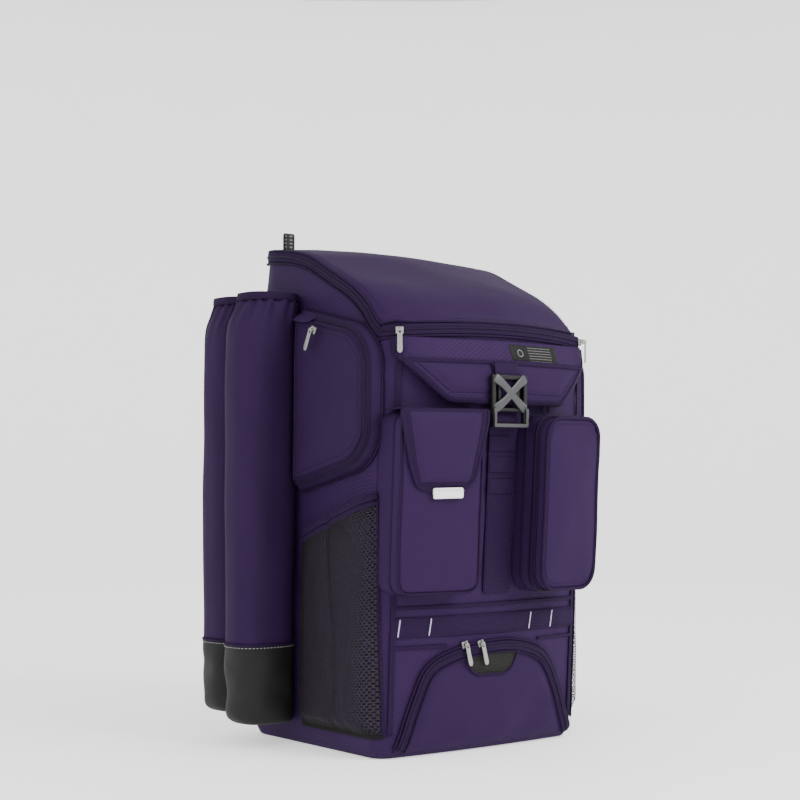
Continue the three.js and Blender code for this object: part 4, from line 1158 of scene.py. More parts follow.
class BATPACK_OT_webbing(PackOperator, bpy.types.Operator):
    """Sew the webbing ladder, the band under the pockets and their tacks"""

    bl_idname = "batpack.webbing"
    bl_label = "Webbing"

    def build(self):
        form = self.form
        half = 23 * MM
        rung_foot, rung_pitch, rung_tall = 0.328, 0.027, 19 * MM
        heights = np.linspace(0.200, 0.436, 40)
        upright = [form.on_front(0, z, 1.6 * MM) for z in heights]
        strip(
            "ladder_webbing",
            upright,
            AHEAD,
            flat_section(2 * half, 2 * MM),
            "webbing",
            replaces=["centre_webbing"],
            smooth=1,
        )
        for number in range(4):
            foot = rung_foot + number * rung_pitch
            node = f"webbing_rung_{number + 1}"

            def place(s, t, foot=foot):
                x = (2 * s - 1) * half
                sag = 1.0 * MM * math.sin(math.pi * s)
                return form.on_front(x, foot + rung_tall * t - 0.4 * sag, 3.4 * MM + sag)

            cloth(
                f"{node}_cloth",
                20,
                6,
                place,
                (2 * half, rung_tall),
                "webbing",
                replaces=[node],
                wall=1.6 * MM,
            )
        rows = []
        for number in range(4):
            foot = rung_foot + number * rung_pitch
            for x in (-half + 2 * MM, half - 2 * MM):
                rows.append(([form.on_front(x, foot + h, 4.2 * MM) for h in (1 * MM, 18 * MM)], AHEAD))
        for x in (-half + 3 * MM, half - 3 * MM):
            rows.append(([form.on_front(x, z, 2.8 * MM) for z in np.linspace(0.204, 0.325, 20)], AHEAD))
        stitches("ladder_stitching", rows, "dark_thread")

        reach = form.half_width - 14 * MM
        band_foot, band_top, hem = 0.150, 0.176, 2.5 * MM
        lifts = (-0.144, -0.101, 0.062, 0.104)

        def band(s, t):
            x = (2 * s - 1) * reach
            near = min(abs(x - at) for at in lifts)
            stand = 1.5 * MM * ease(near / 0.02) * math.sin(math.pi * t)
            z = mix(band_foot, band_top, t)
            return form.on_front(x, z, 1.5 * MM + stand + crease((x, 0, z), 0.04, 0.8 * MM, 3.0))

        cloth(
            "band_cloth",
            90,
            8,
            band,
            (2 * reach, band_top - band_foot),
            "webbing",
            replaces=["band_webbing"],
            wall=1.6 * MM,
        )
        edges = []
        for z in (band_foot + hem, band_top - hem):
            xs = np.linspace(-reach + 4 * MM, reach - 4 * MM, 80)
            edges.append(([form.on_front(x, z, 2.9 * MM) for x in xs], AHEAD))
        stitches("band_stitching", edges, "dark_thread")

        # Bar tacks: close rows of light thread that hold the band down.
        tacks = bmesh.new()
        for at in lifts:
            lean = 2.5 * MM
            for k in range(22):
                share = k / 21
                z = mix(band_foot + hem, band_top - hem, share)
                spot = Matrix.Translation(form.on_front(at + lean * (share - 0.5), z, 2.6 * MM))
                spread = Matrix.Diagonal((1.25 * MM, 0.6 * MM, 0.55 * MM, 1))
                bmesh.ops.create_icosphere(tacks, subdivisions=1, radius=1, matrix=spot @ spread)
        finished(tacks, "bar_tacks", "thread", smooth=0)
        # Two short webbing ends hang from under the flap.
        ends = []
        for x in (0.066, 0.078):
            heights = np.linspace(0.452, 0.432, 8)
            points = [form.on_front(x, z, 3.0 * MM + 0.2 * (heights[0] - z)) for z in heights]
            ends.append(sweep_mesh(spine(points, AHEAD), flat_section(5 * MM, 1.4 * MM)))
        finished(merged(ends), "webbing_ends", "webbing")


def pocket_frame(form, centre, turn):
    """Places a front pocket's own across, up and depth in the pack."""
    angle = math.radians(turn)
    across = Vector((math.cos(angle), math.sin(angle), 0))
    out = Vector((math.sin(angle), -math.cos(angle), 0))

    def place(u, v, depth):
        start = Vector((centre, form.front_y(centre, v), v))
        return start + across * u + out * depth

    return place, out


class BATPACK_OT_left_pocket(PackOperator, bpy.types.Operator):
    """Sew the flapped front pocket and its light pull tab"""

    bl_idname = "batpack.left_pocket"
    bl_label = "Flapped Pocket"

    def build(self):
        form = self.form
        width, height, foot, depth = 118 * MM, 226 * MM, 204 * MM, 38 * MM
        taper, panel_depth, root = 0.03, depth - 3 * MM, -0.62 * depth
        place, out = pocket_frame(form, 58 * MM - form.half_width, -9)
        middle = foot + height / 2
        outline = rounded_box(width / 2, height / 2, 16 * MM)

        def put(u, v, d):
            sag = crease((u, v, 0), 0.06, 1.6 * MM, 2.0) + crease((u, v, 0), 0.022, 0.5 * MM, 9.0)
            return place(u, middle + v, d + sag * ease(d / depth))

        pocket("left_pocket_cloth", 40, 56, outline, taper, panel_depth, 3 * MM, root, put,
               (0.20, 0.32), "smooth", replaces=["left_pocket"], wall=2.0 * MM)
        run = outline_run(outline, 0.972)
        edge = [put(u, v, depth - 3.7 * MM) for u, v in run]
        outs = [out + Vector((u / width, 0, v / height)) * 1.2 for u, v in run]
        strip("left_pocket_piping", edge, outs, round_section(1.7 * MM), "binding", closed=True)
        back = outline_run(outline, gusset_share(taper, panel_depth, root, 0.42 * depth) + 0.002)
        seam = [put(u, v, 0.42 * depth) for u, v in back]
        sides = [Vector((u / width, 0, v / height)) for u, v in back]
        strip(
            "left_pocket_gusset_seam", seam, sides, flat_section(4 * MM, 1.2 * MM), "binding", closed=True
        )

        # The flap comes out of the front, over the top and down, and tapers.
        flap_height = 101 * MM
        top = foot + height + 3 * MM
        left = {"share": (0, 0.05, 0.3, 0.94, 1), "edge": (-0.48, -0.62, -0.78, -1.03, -1.03)}
        right = {"share": (0, 0.05, 0.16, 0.55, 0.86, 1), "edge": (0.45, 0.62, 0.76, 0.92, 1.03, 1.03)}
        over = 0.2  # share of the flap's cloth that lies on top of the pocket

        def sides_at(share):
            reach = [even(side, "edge", "share", share, 0.02) * width / 2 for side in (left, right)]
            return reach[0], reach[1]

        def flap_point(s, t, lift=0.0):
            if t > 1 - over:
                back = (t - (1 - over)) / over
                low_u, high_u = sides_at(1.0)
                turn = math.pi / 2 * clamp(back / 0.35)
                d = depth + (1.6 * MM + lift) * math.cos(turn)
                if back > 0.35:
                    d = mix(depth, -6 * MM, (back - 0.35) / 0.65)
                v = top - 1.5 * MM + (1.6 * MM + lift) * math.sin(turn)
                return place(mix(low_u, high_u, s), v, d)
            share = t / (1 - over)
            low_u, high_u = sides_at(share)
            u = mix(low_u, high_u, s)
            v = mix(top - flap_height, top - 1.5 * MM, share)
            if share < 0.14:
                v += 2.5 * MM * (1 - share / 0.14) * ((2 * s - 1) ** 4)
            swell = 2.4 * MM * (1 - (2 * s - 1) ** 2) * math.sin(math.pi * clamp(share))
            sag = crease((u, v, 0), 0.05, 1.2 * MM, 5.0)
            return place(u, v, depth + 1.6 * MM + lift + swell + sag)

        cloth("left_flap_cloth", 36, 48, flap_point, (width, flap_height + 45 * MM), "binding",
              replaces=["left_pocket_flap"], wall=1.8 * MM)

        def panel(s, t):
            s2, t2 = mix(0.085, 0.915, s), mix(0.085, 0.775, t)
            edge = min(1.0, 10 * min(s, 1 - s), 10 * min(t, 1 - t))
            return flap_point(s2, t2, 0.2 * MM + 1.7 * MM * ease(edge))

        cloth("left_flap_panel", 36, 36, panel, (width * 0.8, flap_height * 0.85), "smooth", wall=1.2 * MM)
        shares = np.linspace(0.995 - over, 0.0, 40)
        rim = [flap_point(0, t) for t in shares] + [flap_point(s, 0) for s in np.linspace(0, 1, 26)[1:-1]]
        rim += [flap_point(1, t) for t in shares[::-1]]
        strip(
            "left_flap_binding",
            [p + out * -0.6 * MM for p in rim],
            out,
            flat_section(4 * MM, 3.6 * MM, 10, 3.0),
            "binding",
        )
        inner = [flap_point(0.06, t, 0.5 * MM) for t in np.linspace(0.78, 0.06, 40)]
        inner += [flap_point(s, 0.06, 0.5 * MM) for s in np.linspace(0.06, 0.94, 26)[1:-1]]
        inner += [flap_point(0.94, t, 0.5 * MM) for t in np.linspace(0.06, 0.78, 40)]
        stitches("left_flap_stitching", [(inner, out)], "dark_thread")

        # A folded ribbon under the flap's edge.
        tab_foot = top - flap_height - 8.5 * MM
        us = np.linspace(5 * MM - 21.5 * MM, 5 * MM + 21.5 * MM, 16)
        fold = [place(u, tab_foot + 6 * MM + 0.5 * MM * math.sin(40 * u), depth + 4.8 * MM) for u in us]
        strip(
            "pocket_tab",
            fold,
            out,
            flat_section(13.5 * MM, 3.4 * MM, 16, 3.0),
            "tab",
            replaces=["pocket_pull_tab"],
            smooth=1,
        )
        rows = [([place(u, tab_foot + 9.5 * MM, depth + 6.7 * MM) for u in us], out)]
        stitches("tab_stitching", rows, "boot_thread")


class BATPACK_OT_right_pocket(PackOperator, bpy.types.Operator):
    """Sew the domed front pocket, its piping and the zip round its gusset"""

    bl_idname = "batpack.right_pocket"
    bl_label = "Domed Pocket"

    def build(self):
        form = self.form
        width, height, foot, depth = 104 * MM, 226 * MM, 202 * MM, 56 * MM
        taper, panel_depth, root = 0.035, depth - 6 * MM, -0.42 * depth
        place, out = pocket_frame(form, form.half_width - 89 * MM, 6)
        middle = foot + height / 2
        outline = rounded_box(width / 2, height / 2, 27 * MM)

        def put(u, v, d):
            sag = crease((u, v, 0), 0.07, 1.5 * MM, 12.0) + crease((u, v, d), 0.025, 0.5 * MM, 3.0)
            return place(u, middle + v, d + sag * ease(d / depth))

        pocket("right_pocket_cloth", 40, 56, outline, taper, panel_depth, 6 * MM, root, put,
               (0.22, 0.34), "smooth", replaces=["right_pocket"], wall=2.0 * MM)
        run = outline_run(outline, 0.967, 160)
        edge = [put(u, v, depth - 6.8 * MM) for u, v in run]
        outs = [out + Vector((u / width, 0, v / height)) * 1.2 for u, v in run]
        strip("right_pocket_piping", edge, outs, round_section(2.7 * MM), "binding", closed=True)
        for name, at, section, finish in (
            ("right_pocket_zip_tape", 0.56, flat_section(13 * MM, 1.6 * MM), "binding"),
            ("right_pocket_zip", 0.56, round_section(1.6 * MM, 6), "zip"),
            ("right_pocket_seam", 0.24, flat_section(3.4 * MM, 1.6 * MM), "binding"),
        ):
            share = gusset_share(taper, panel_depth, root, at * depth)
            back = outline_run(outline, share + (0.018 if finish == "zip" else 0.004), 160)
            sides = [Vector((u / width, 0, v / height)) for u, v in back]
            strip(name, [put(u, v, at * depth) for u, v in back], sides, section, finish, closed=True)
        inner = outline_run(outline, 0.90, 160)
        rows = [([put(u, v, depth - 4.2 * MM) for u, v in inner], out)]
        stitches("right_pocket_stitching", rows, "dark_thread")


DOOR_HALF = 0.150
DOOR_FOOT = 7 * MM
DOOR_HEIGHT = 132 * MM
# Shares of the door's half width and of its height.
ARCH_ROWS = {
    "across": (-0.955, -0.907, -0.813, -0.687, -0.427, -0.07, 0.287, 0.62, 0.827, 0.97, 1.03),
    "height": (0.04, 0.18, 0.5, 0.795, 0.94, 1.0, 0.99, 0.856, 0.545, 0.18, 0.04),
}


def smooth_run(points, count):
    """Points evenly spread along a smooth line through the given ones."""
    ends = [2 * points[0] - points[1], *points, 2 * points[-1] - points[-2]]
    dense = []
    for a, b, c, d in zip(ends, ends[1:], ends[2:], ends[3:]):
        for k in range(20):
            t = k / 20
            square, cube = 2 * a - 5 * b + 4 * c - d, 3 * b - a - 3 * c + d
            dense.append(0.5 * (2 * b + (c - a) * t + square * t**2 + cube * t**3))
    dense = np.array([*dense, points[-1]])
    lengths = np.concatenate([[0], np.cumsum(np.hypot(*np.diff(dense, axis=0).T))])
    wanted = np.linspace(0, lengths[-1], count)
    return np.stack([np.interp(wanted, lengths, dense[:, k]) for k in (0, 1)], axis=1)


def arch_run(margin, count=90):
    """Points along the door's arch, so far outside it."""
    rows = zip(ARCH_ROWS["across"], ARCH_ROWS["height"])
    arch = smooth_run([np.array((x * DOOR_HALF, DOOR_FOOT + z * DOOR_HEIGHT)) for x, z in rows], count)
    along = np.gradient(arch, axis=0)
    along /= np.hypot(*along.T)[:, None]
    return arch + np.stack([-along[:, 1], along[:, 0]], axis=1) * margin


class BATPACK_OT_shoe_door(PackOperator, bpy.types.Operator):
    """Sew the arched door of the shoe space, its zip and its vent"""

    bl_idname = "batpack.shoe_door"
    bl_label = "Shoe Door"

    def build(self):
        form = self.form

        arch = arch_run(0.0, 73)

        def on_door(x, z, out=0.0):
            edge = float(np.min(np.hypot(arch[:, 0] - x, arch[:, 1] - z)))
            rise = ease((edge - 0.014) / 0.016) * ease((z - 0.004) / 0.03)
            wrinkle = crease((x * 0.7, 0, z), 0.035, 3.6 * MM, 21.0) * rise
            near_fold = math.exp(-((x + 0.055) ** 2) / 0.003)
            drape = 1.3 * MM * math.sin(38 * x + 60 * (z - 0.1)) * rise * near_fold
            stand = 2.0 * MM * ease(edge / 0.006) + 2.6 * MM * rise
            return form.on_front(x, z, stand + wrinkle + drape + out)

        def place(s, t):
            x, top = arch[round(s * 72)]
            return on_door(x, mix(DOOR_FOOT, top, t))

        cloth("door_cloth", 72, 30, place, (0.30, 0.13), "smooth", replaces=["bottom_door"], wall=2.0 * MM)
        for name, margin, out, section, finish in (
            ("door_piping", 1.5 * MM, 1.6 * MM, round_section(1.6 * MM), "binding"),
            ("door_zip_tape", -6.5 * MM, 3.4 * MM, flat_section(12 * MM, 1.4 * MM), "binding"),
            ("door_zip_coil", -5.5 * MM, 4.3 * MM, round_section(1.3 * MM, 6), "zip"),
            ("door_seam", -14.5 * MM, 4.4 * MM, round_section(1.3 * MM), "binding"),
        ):
            points = [form.on_front(x, z, out) for x, z in arch_run(margin)]
            strip(name, points, AHEAD, section, finish)
        rows = [([form.on_front(x, z, 2.2 * MM) for x, z in arch_run(7 * MM)], AHEAD)]
        stitches("door_stitching", rows, "dark_thread")

        top, tall = DOOR_FOOT + DOOR_HEIGHT - 8 * MM, 33 * MM
        wide, narrow = 48 * MM, 28 * MM

        def vent(s, t):
            z = top - tall * (1 - t) - 5 * MM * t * ((2 * s - 1) ** 2)
            corner = 7 * MM * (max(0.0, 1 - 4 * t) ** 2)
            half = mix(narrow, wide, t) - corner
            return on_door((2 * s - 1) * half - 4 * MM, z, 1.2 * MM)

        cloth("vent", 36, 14, vent, (2 * wide, tall), "net", replaces=["vent_mesh"], wall=0.7 * MM)

        # Painted shade: a black sheet just behind the vent stands in for the dark inside of the shoe space,
        # seen through its holes.
        def backing(s, t):
            return vent(s, t) + Vector((0, 0.5 * MM, 0))

        cloth("vent_backing", 36, 14, backing, (2 * wide, tall), "black", wall=0.3 * MM)
        rim = [vent(0, t) for t in np.linspace(1, 0, 16)]
        rim += [vent(s, 0) for s in np.linspace(0, 1, 24)[1:-1]]
        rim += [vent(1, t) for t in np.linspace(0, 1, 16)]
        strip(
            "vent_rim",
            [p + AHEAD * 0.5 * MM for p in rim],
            AHEAD,
            flat_section(3.0 * MM, 1.8 * MM),
            "binding",
        )


SLEEVE_REAR = 0.150 + 0.005 - 0.036
SLEEVE_PITCH = 0.073
# Name, centre along the side, reach out from the side at the boot's top, height of the foot.
SLEEVES = (("rear", SLEEVE_REAR, 76 * MM, 38 * MM), ("front", SLEEVE_REAR - SLEEVE_PITCH, 88 * MM, 30 * MM))
SIDES_END = SLEEVE_REAR - SLEEVE_PITCH - 0.036 - 0.5 * MM
SLEEVE_POWER = 2.6
HEM = 9 * MM
HEM_GIRTH = 0.944
SLEEVE_DRAW = 0.17  # share of its reach that a sleeve loses at the hem


class BATPACK_OT_sleeves(PackOperator, bpy.types.Operator):
    """Sew the four tall sleeves, with gathered hems and black boots"""

    bl_idname = "batpack.sleeves"
    bl_label = "Tall Sleeves"

    def around(self, side, sleeve, angle, z, girth, out=0.0, draw=0.0):
        """A point of a sleeve's ring. It stays against the pack's side, and is drawn in towards it."""
        _, centre, reach, _ = sleeve
        reach *= 1 - SLEEVE_DRAW * draw
        form = self.form
        near = form.section(z)[0] + 0.7 * MM
        far = form.section(self.sizes.boot_top)[0] + reach * girth
        x = (near + far) / 2 + bowed(math.cos(angle), SLEEVE_POWER) * ((far - near) / 2 + out)
        y = centre + bowed(math.sin(angle), SLEEVE_POWER) * (self.sizes.sleeve_width / 2 * girth + out)
        return Vector((side * x, y, z))

    def build(self):
        sizes = self.sizes
        boot_top, top = sizes.boot_top, sizes.sleeve_top
        for side, where in ((-1, "left"), (1, "right")):
            for sleeve in SLEEVES:
                name, _, _, foot = sleeve
                label = f"{where}_{name}"
                seed = 3.0 * side + (1.7 if name == "rear" else 0.4)

                def turn(s):
                    return side * TAU * s + math.pi / 5

                def tube(s, t, low=boot_top + 0.5 * MM, high=top - HEM):
                    z = mix(low, high, t)
                    angle = turn(s)
                    pinch = ease((z - (high - 0.055)) / 0.055)
                    girth = 1 - 0.016 * ease((z - 0.42) / 0.09) - 0.04 * pinch**2
                    stray = 2.0 * noise.noise(Vector((angle, z / 0.04, seed)))
                    pleat = math.sin(sizes.gathers * angle + stray)
                    out = 2.6 * MM * pleat * pinch**1.3 - 1.2 * MM * pinch
                    probe = Vector((math.cos(angle) * 0.04, math.sin(angle) * 0.04, z * 0.32))
                    out += crease(probe, 0.03, 1.6 * MM, seed)
                    draw = ease((z - (high - 0.042)) / 0.042) ** 1.5
                    return self.around(side, sleeve, angle, z, girth, out, draw)

                cloth(f"sleeve_{label}_cloth", 60, 34, tube, (0.26, 0.455), "smooth_dark",
                      replaces=[f"sleeve_{label}"], wall=1.8 * MM)

                def hem(s, t):
                    z = mix(top - HEM - 1 * MM, top, t)
                    angle = turn(s)
                    bead = 0.9 * MM * math.sin(math.pi * t)
                    pleat = 0.5 * MM * math.sin(sizes.gathers * angle * 2)
                    return self.around(side, sleeve, angle, z, HEM_GIRTH, bead + pleat, 1.0)

                cloth(f"hem_{label}", 60, 6, hem, (0.25, HEM), "binding", wall=2.4 * MM)

                def boot(s, t):
                    z = mix(foot, boot_top, t)
                    angle = turn(s)
                    low = clamp((z - foot) / 0.018)
                    girth = 0.86 + 0.14 * math.sqrt(max(0.0, 1 - (1 - low) ** 2))
                    probe = Vector((math.cos(angle) * 0.04, math.sin(angle) * 0.04, z * 0.8))
                    loose = ease((z - foot) / 0.02) * ease((boot_top - z) / 0.02)
                    folds = crease(probe, 0.026, 3.6 * MM, seed + 5) * loose
                    return self.around(side, sleeve, angle, z, girth, folds)

                mesh = cloth_mesh(48, 18, boot, (0.26, 0.10))
                close_foot(mesh, foot, 6 * MM, 12 * MM)
                finished(mesh, f"boot_{label}_cloth", "black", replaces=[f"boot_{label}"], wall=1.8 * MM)

                angles = np.linspace(0, TAU, 90)
                seam = [self.around(side, sleeve, a, boot_top, 1.0, 0.5 * MM) for a in angles]
                outs = [Vector((side * math.cos(a), math.sin(a), 0)) for a in angles]
                strip(f"boot_seam_{label}", seam, outs, flat_section(3.2 * MM, 1.5 * MM), "binding")
                row = [self.around(side, sleeve, a, boot_top - 3.2 * MM, 1.0, 0.8 * MM) for a in angles]
                rows = [(row, outs)]
                stitches(f"boot_stitching_{label}", rows, "boot_thread")
                low_hem = top - HEM + 1 * MM
                row = [self.around(side, sleeve, a, low_hem, HEM_GIRTH, 1.2 * MM, 1.0) for a in angles]
                rows = [(row, outs)]
                stitches(f"hem_stitching_{label}", rows, "dark_thread")


class BATPACK_OT_side_pockets(PackOperator, bpy.types.Operator):
    """Sew the zipped pockets high on both sides"""

    bl_idname = "batpack.side_pockets"
    bl_label = "Side Pockets"

    def build(self):
        form = self.form
        front, foot, tall, depth = 155 * MM, 330 * MM, 238 * MM, 28 * MM
        taper, panel_depth, root = 0.13, depth - 4 * MM, -4 * MM
        length = SIDES_END + front

        def outline(a, b):
            """Runs forward from the sleeve, and draws in to a rounded nose."""
            forward, up = (a + 1) / 2, (b + 1) / 2
            nose, drop = 0.30, 0.24
            past_f, past_u = forward - (1 - nose), abs(up - 0.5) - (0.5 - drop)
            if past_f > 0 and past_u > 0:
                angle = math.atan2(past_u / drop, past_f / nose)
                forward = 1 - nose + nose * math.cos(angle)
                up = 0.5 + math.copysign(0.5 - drop + drop * math.sin(angle), up - 0.5)
            up = 0.5 + (up - 0.5) * (1 - 0.3 * forward)
            return (forward - 0.5) * length, (up - 0.5) * tall

        for side, where in ((-1, "left"), (1, "right")):
            middle_y, middle_z = SIDES_END - length / 2, foot + tall / 2

            def put(u, v, d):
                y, z = middle_y - u, middle_z + v
                sag = crease((y, z, side), 0.06, 1.5 * MM, 14.0) * ease(d / depth)
                return Vector((side * (form.side_x(y, z) + 1.5 * MM + d + sag), y, z))

            def flipped_put(u, v, d):
                return put(-u, v, d)

            def flipped_outline(a, b):
                u, v = outline(-a, b)
                return -u, v

            flip, shape = (flipped_put, flipped_outline) if side > 0 else (put, outline)
            pocket(f"side_pocket_{where}_cloth", 42, 42, shape, taper, panel_depth, 4 * MM, root, flip,
                   (0.22, 0.30), "smooth_dark", replaces=[f"side_pocket_{where}"], wall=2.0 * MM)
            outs = Vector((side, 0, 0))
            for name, lift, out, section, finish in (
                (f"side_piping_{where}", 0.001, depth - 4.8 * MM, round_section(1.5 * MM), "binding"),
                (f"side_zip_tape_{where}", 0.004, depth * 0.62, flat_section(9 * MM, 1.4 * MM), "binding"),
                (f"side_zip_{where}", 0.014, depth * 0.62, round_section(1.4 * MM, 6), "zip"),
                (f"side_seam_{where}", 0.006, 0.5 * MM, round_section(1.5 * MM), "binding"),
            ):
                share = gusset_share(taper, panel_depth, root, out) + lift
                run = outline_run(outline, share, 160)
                tilt = [outs + Vector((0, -u / length, v / tall)) * 1.6 for u, v in run]
                strip(name, [put(u, v, out) for u, v in run], tilt, section, finish, closed=True)
            rows = [([put(u, v, depth - 2.6 * MM) for u, v in outline_run(outline, 0.80, 160)], outs)]
            stitches(f"side_stitching_{where}", rows, "dark_thread")

            # A tab of cloth is folded over the end of the zip.
            def tab(s, t):
                forward = mix(0.06, 0.27 - 0.06 * (2 * t - 1) ** 2, s)
                share = mix(0.86, 0.99, t)
                u, v = (forward - 0.5) * length, outline(2 * forward - 1, 1)[1] * share
                deep = mix(depth + 1.2 * MM, depth * 0.42, ease(t))
                return put(u, v + 1.6 * MM * (1 - t), deep + 1.2 * MM * math.sin(math.pi * s))

            def turned(s, t):
                return tab(s if side < 0 else 1 - s, t)

            cloth(f"zip_garage_{where}", 18, 14, turned, (34 * MM, 24 * MM), "smooth", wall=1.4 * MM)


class BATPACK_OT_mesh_pockets(PackOperator, bpy.types.Operator):
    """Sew the mesh pockets low on both sides, with their bindings"""

    bl_idname = "batpack.mesh_pockets"
    bl_label = "Mesh Pockets"

    def build(self):
        form = self.form
        front, foot, depth = -150 * MM, 28 * MM, 23 * MM
        rear = SIDES_END

        def mouth(y):
            return 0.267 + (rear - y) * 0.353

        for side, where in ((-1, "left"), (1, "right")):

            def at(y, z, share, up):
                ends = 1 - abs(2 * share - 1) ** 5
                rise = ease(up / 0.07) * (1 - 0.22 * up)
                fold = 6.0 * MM * math.exp(-(((share - 0.52 - 0.05 * math.sin(5 * up)) / 0.045) ** 2))
                fold += 4.5 * MM * math.exp(-(((share - 0.72 - 0.3 * up**2) / 0.04) ** 2)) * (1 - up)
                ripple = crease((y, z, 0), 0.05, 4.4 * MM, 31.0) + crease((y, z, 0), 0.02, 1.0 * MM, 8.0)
                slack = rise * (0.25 + 0.75 * ends) * ends
                x = form.side_x(y, z) + 1.2 * MM + depth * rise * ends + (ripple - fold) * slack
                return Vector((side * x, y, z))

            def place(s, t):
                share = s if side < 0 else 1 - s
                y = mix(rear, front, share)
                return at(y, mix(foot, mouth(y), t), share, t)

            cloth(f"mesh_pocket_{where}_net", 40, 50, place, (0.20, 0.30), "net",
                  replaces=[f"mesh_pocket_{where}"], wall=0.2 * MM)
            shares = np.linspace(0.0, 1.0, 50)
            outs = Vector((side, 0, 0))
            lines = [at(mix(rear, front, k), mouth(mix(rear, front, k)), k, 1.0) for k in shares]
            band = [p + UP * 3.5 * MM + outs * 0.4 * MM for p in lines]
            strip(
                f"mesh_binding_{where}_cloth",
                band,
                outs,
                flat_section(9 * MM, 3.0 * MM, 12, 3.4),
                "webbing",
                replaces=[f"mesh_binding_{where}"],
                smooth=1,
            )
            second = [p - UP * 5.5 * MM for p in lines]
            strip(f"mesh_band_{where}", second, outs, flat_section(6 * MM, 2.0 * MM), "webbing")
            rows = [
                ([p + outs * 2.2 * MM for p in band], outs),
                ([p + outs * 1.4 * MM for p in second], outs),
            ]
            stitches(f"mesh_stitching_{where}", rows, "dark_thread")
            heights = np.linspace(0.0, 1.0, 40)
            edges = []
            for share in (0.006, 0.994):
                y = mix(rear, front, share)
                edge = [at(y, mix(foot, mouth(y), t), share, t) for t in heights]
                edges.append(sweep_mesh(spine(edge, outs), flat_section(4 * MM, 1.8 * MM)))
            finished(merged(edges), f"mesh_edges_{where}", "binding", smooth=0)
            low = [at(mix(rear, front, k), foot + 1 * MM, k, 0.01) for k in shares]
            strip(f"mesh_foot_{where}", low, outs, flat_section(6 * MM, 2.2 * MM), "black_webbing")


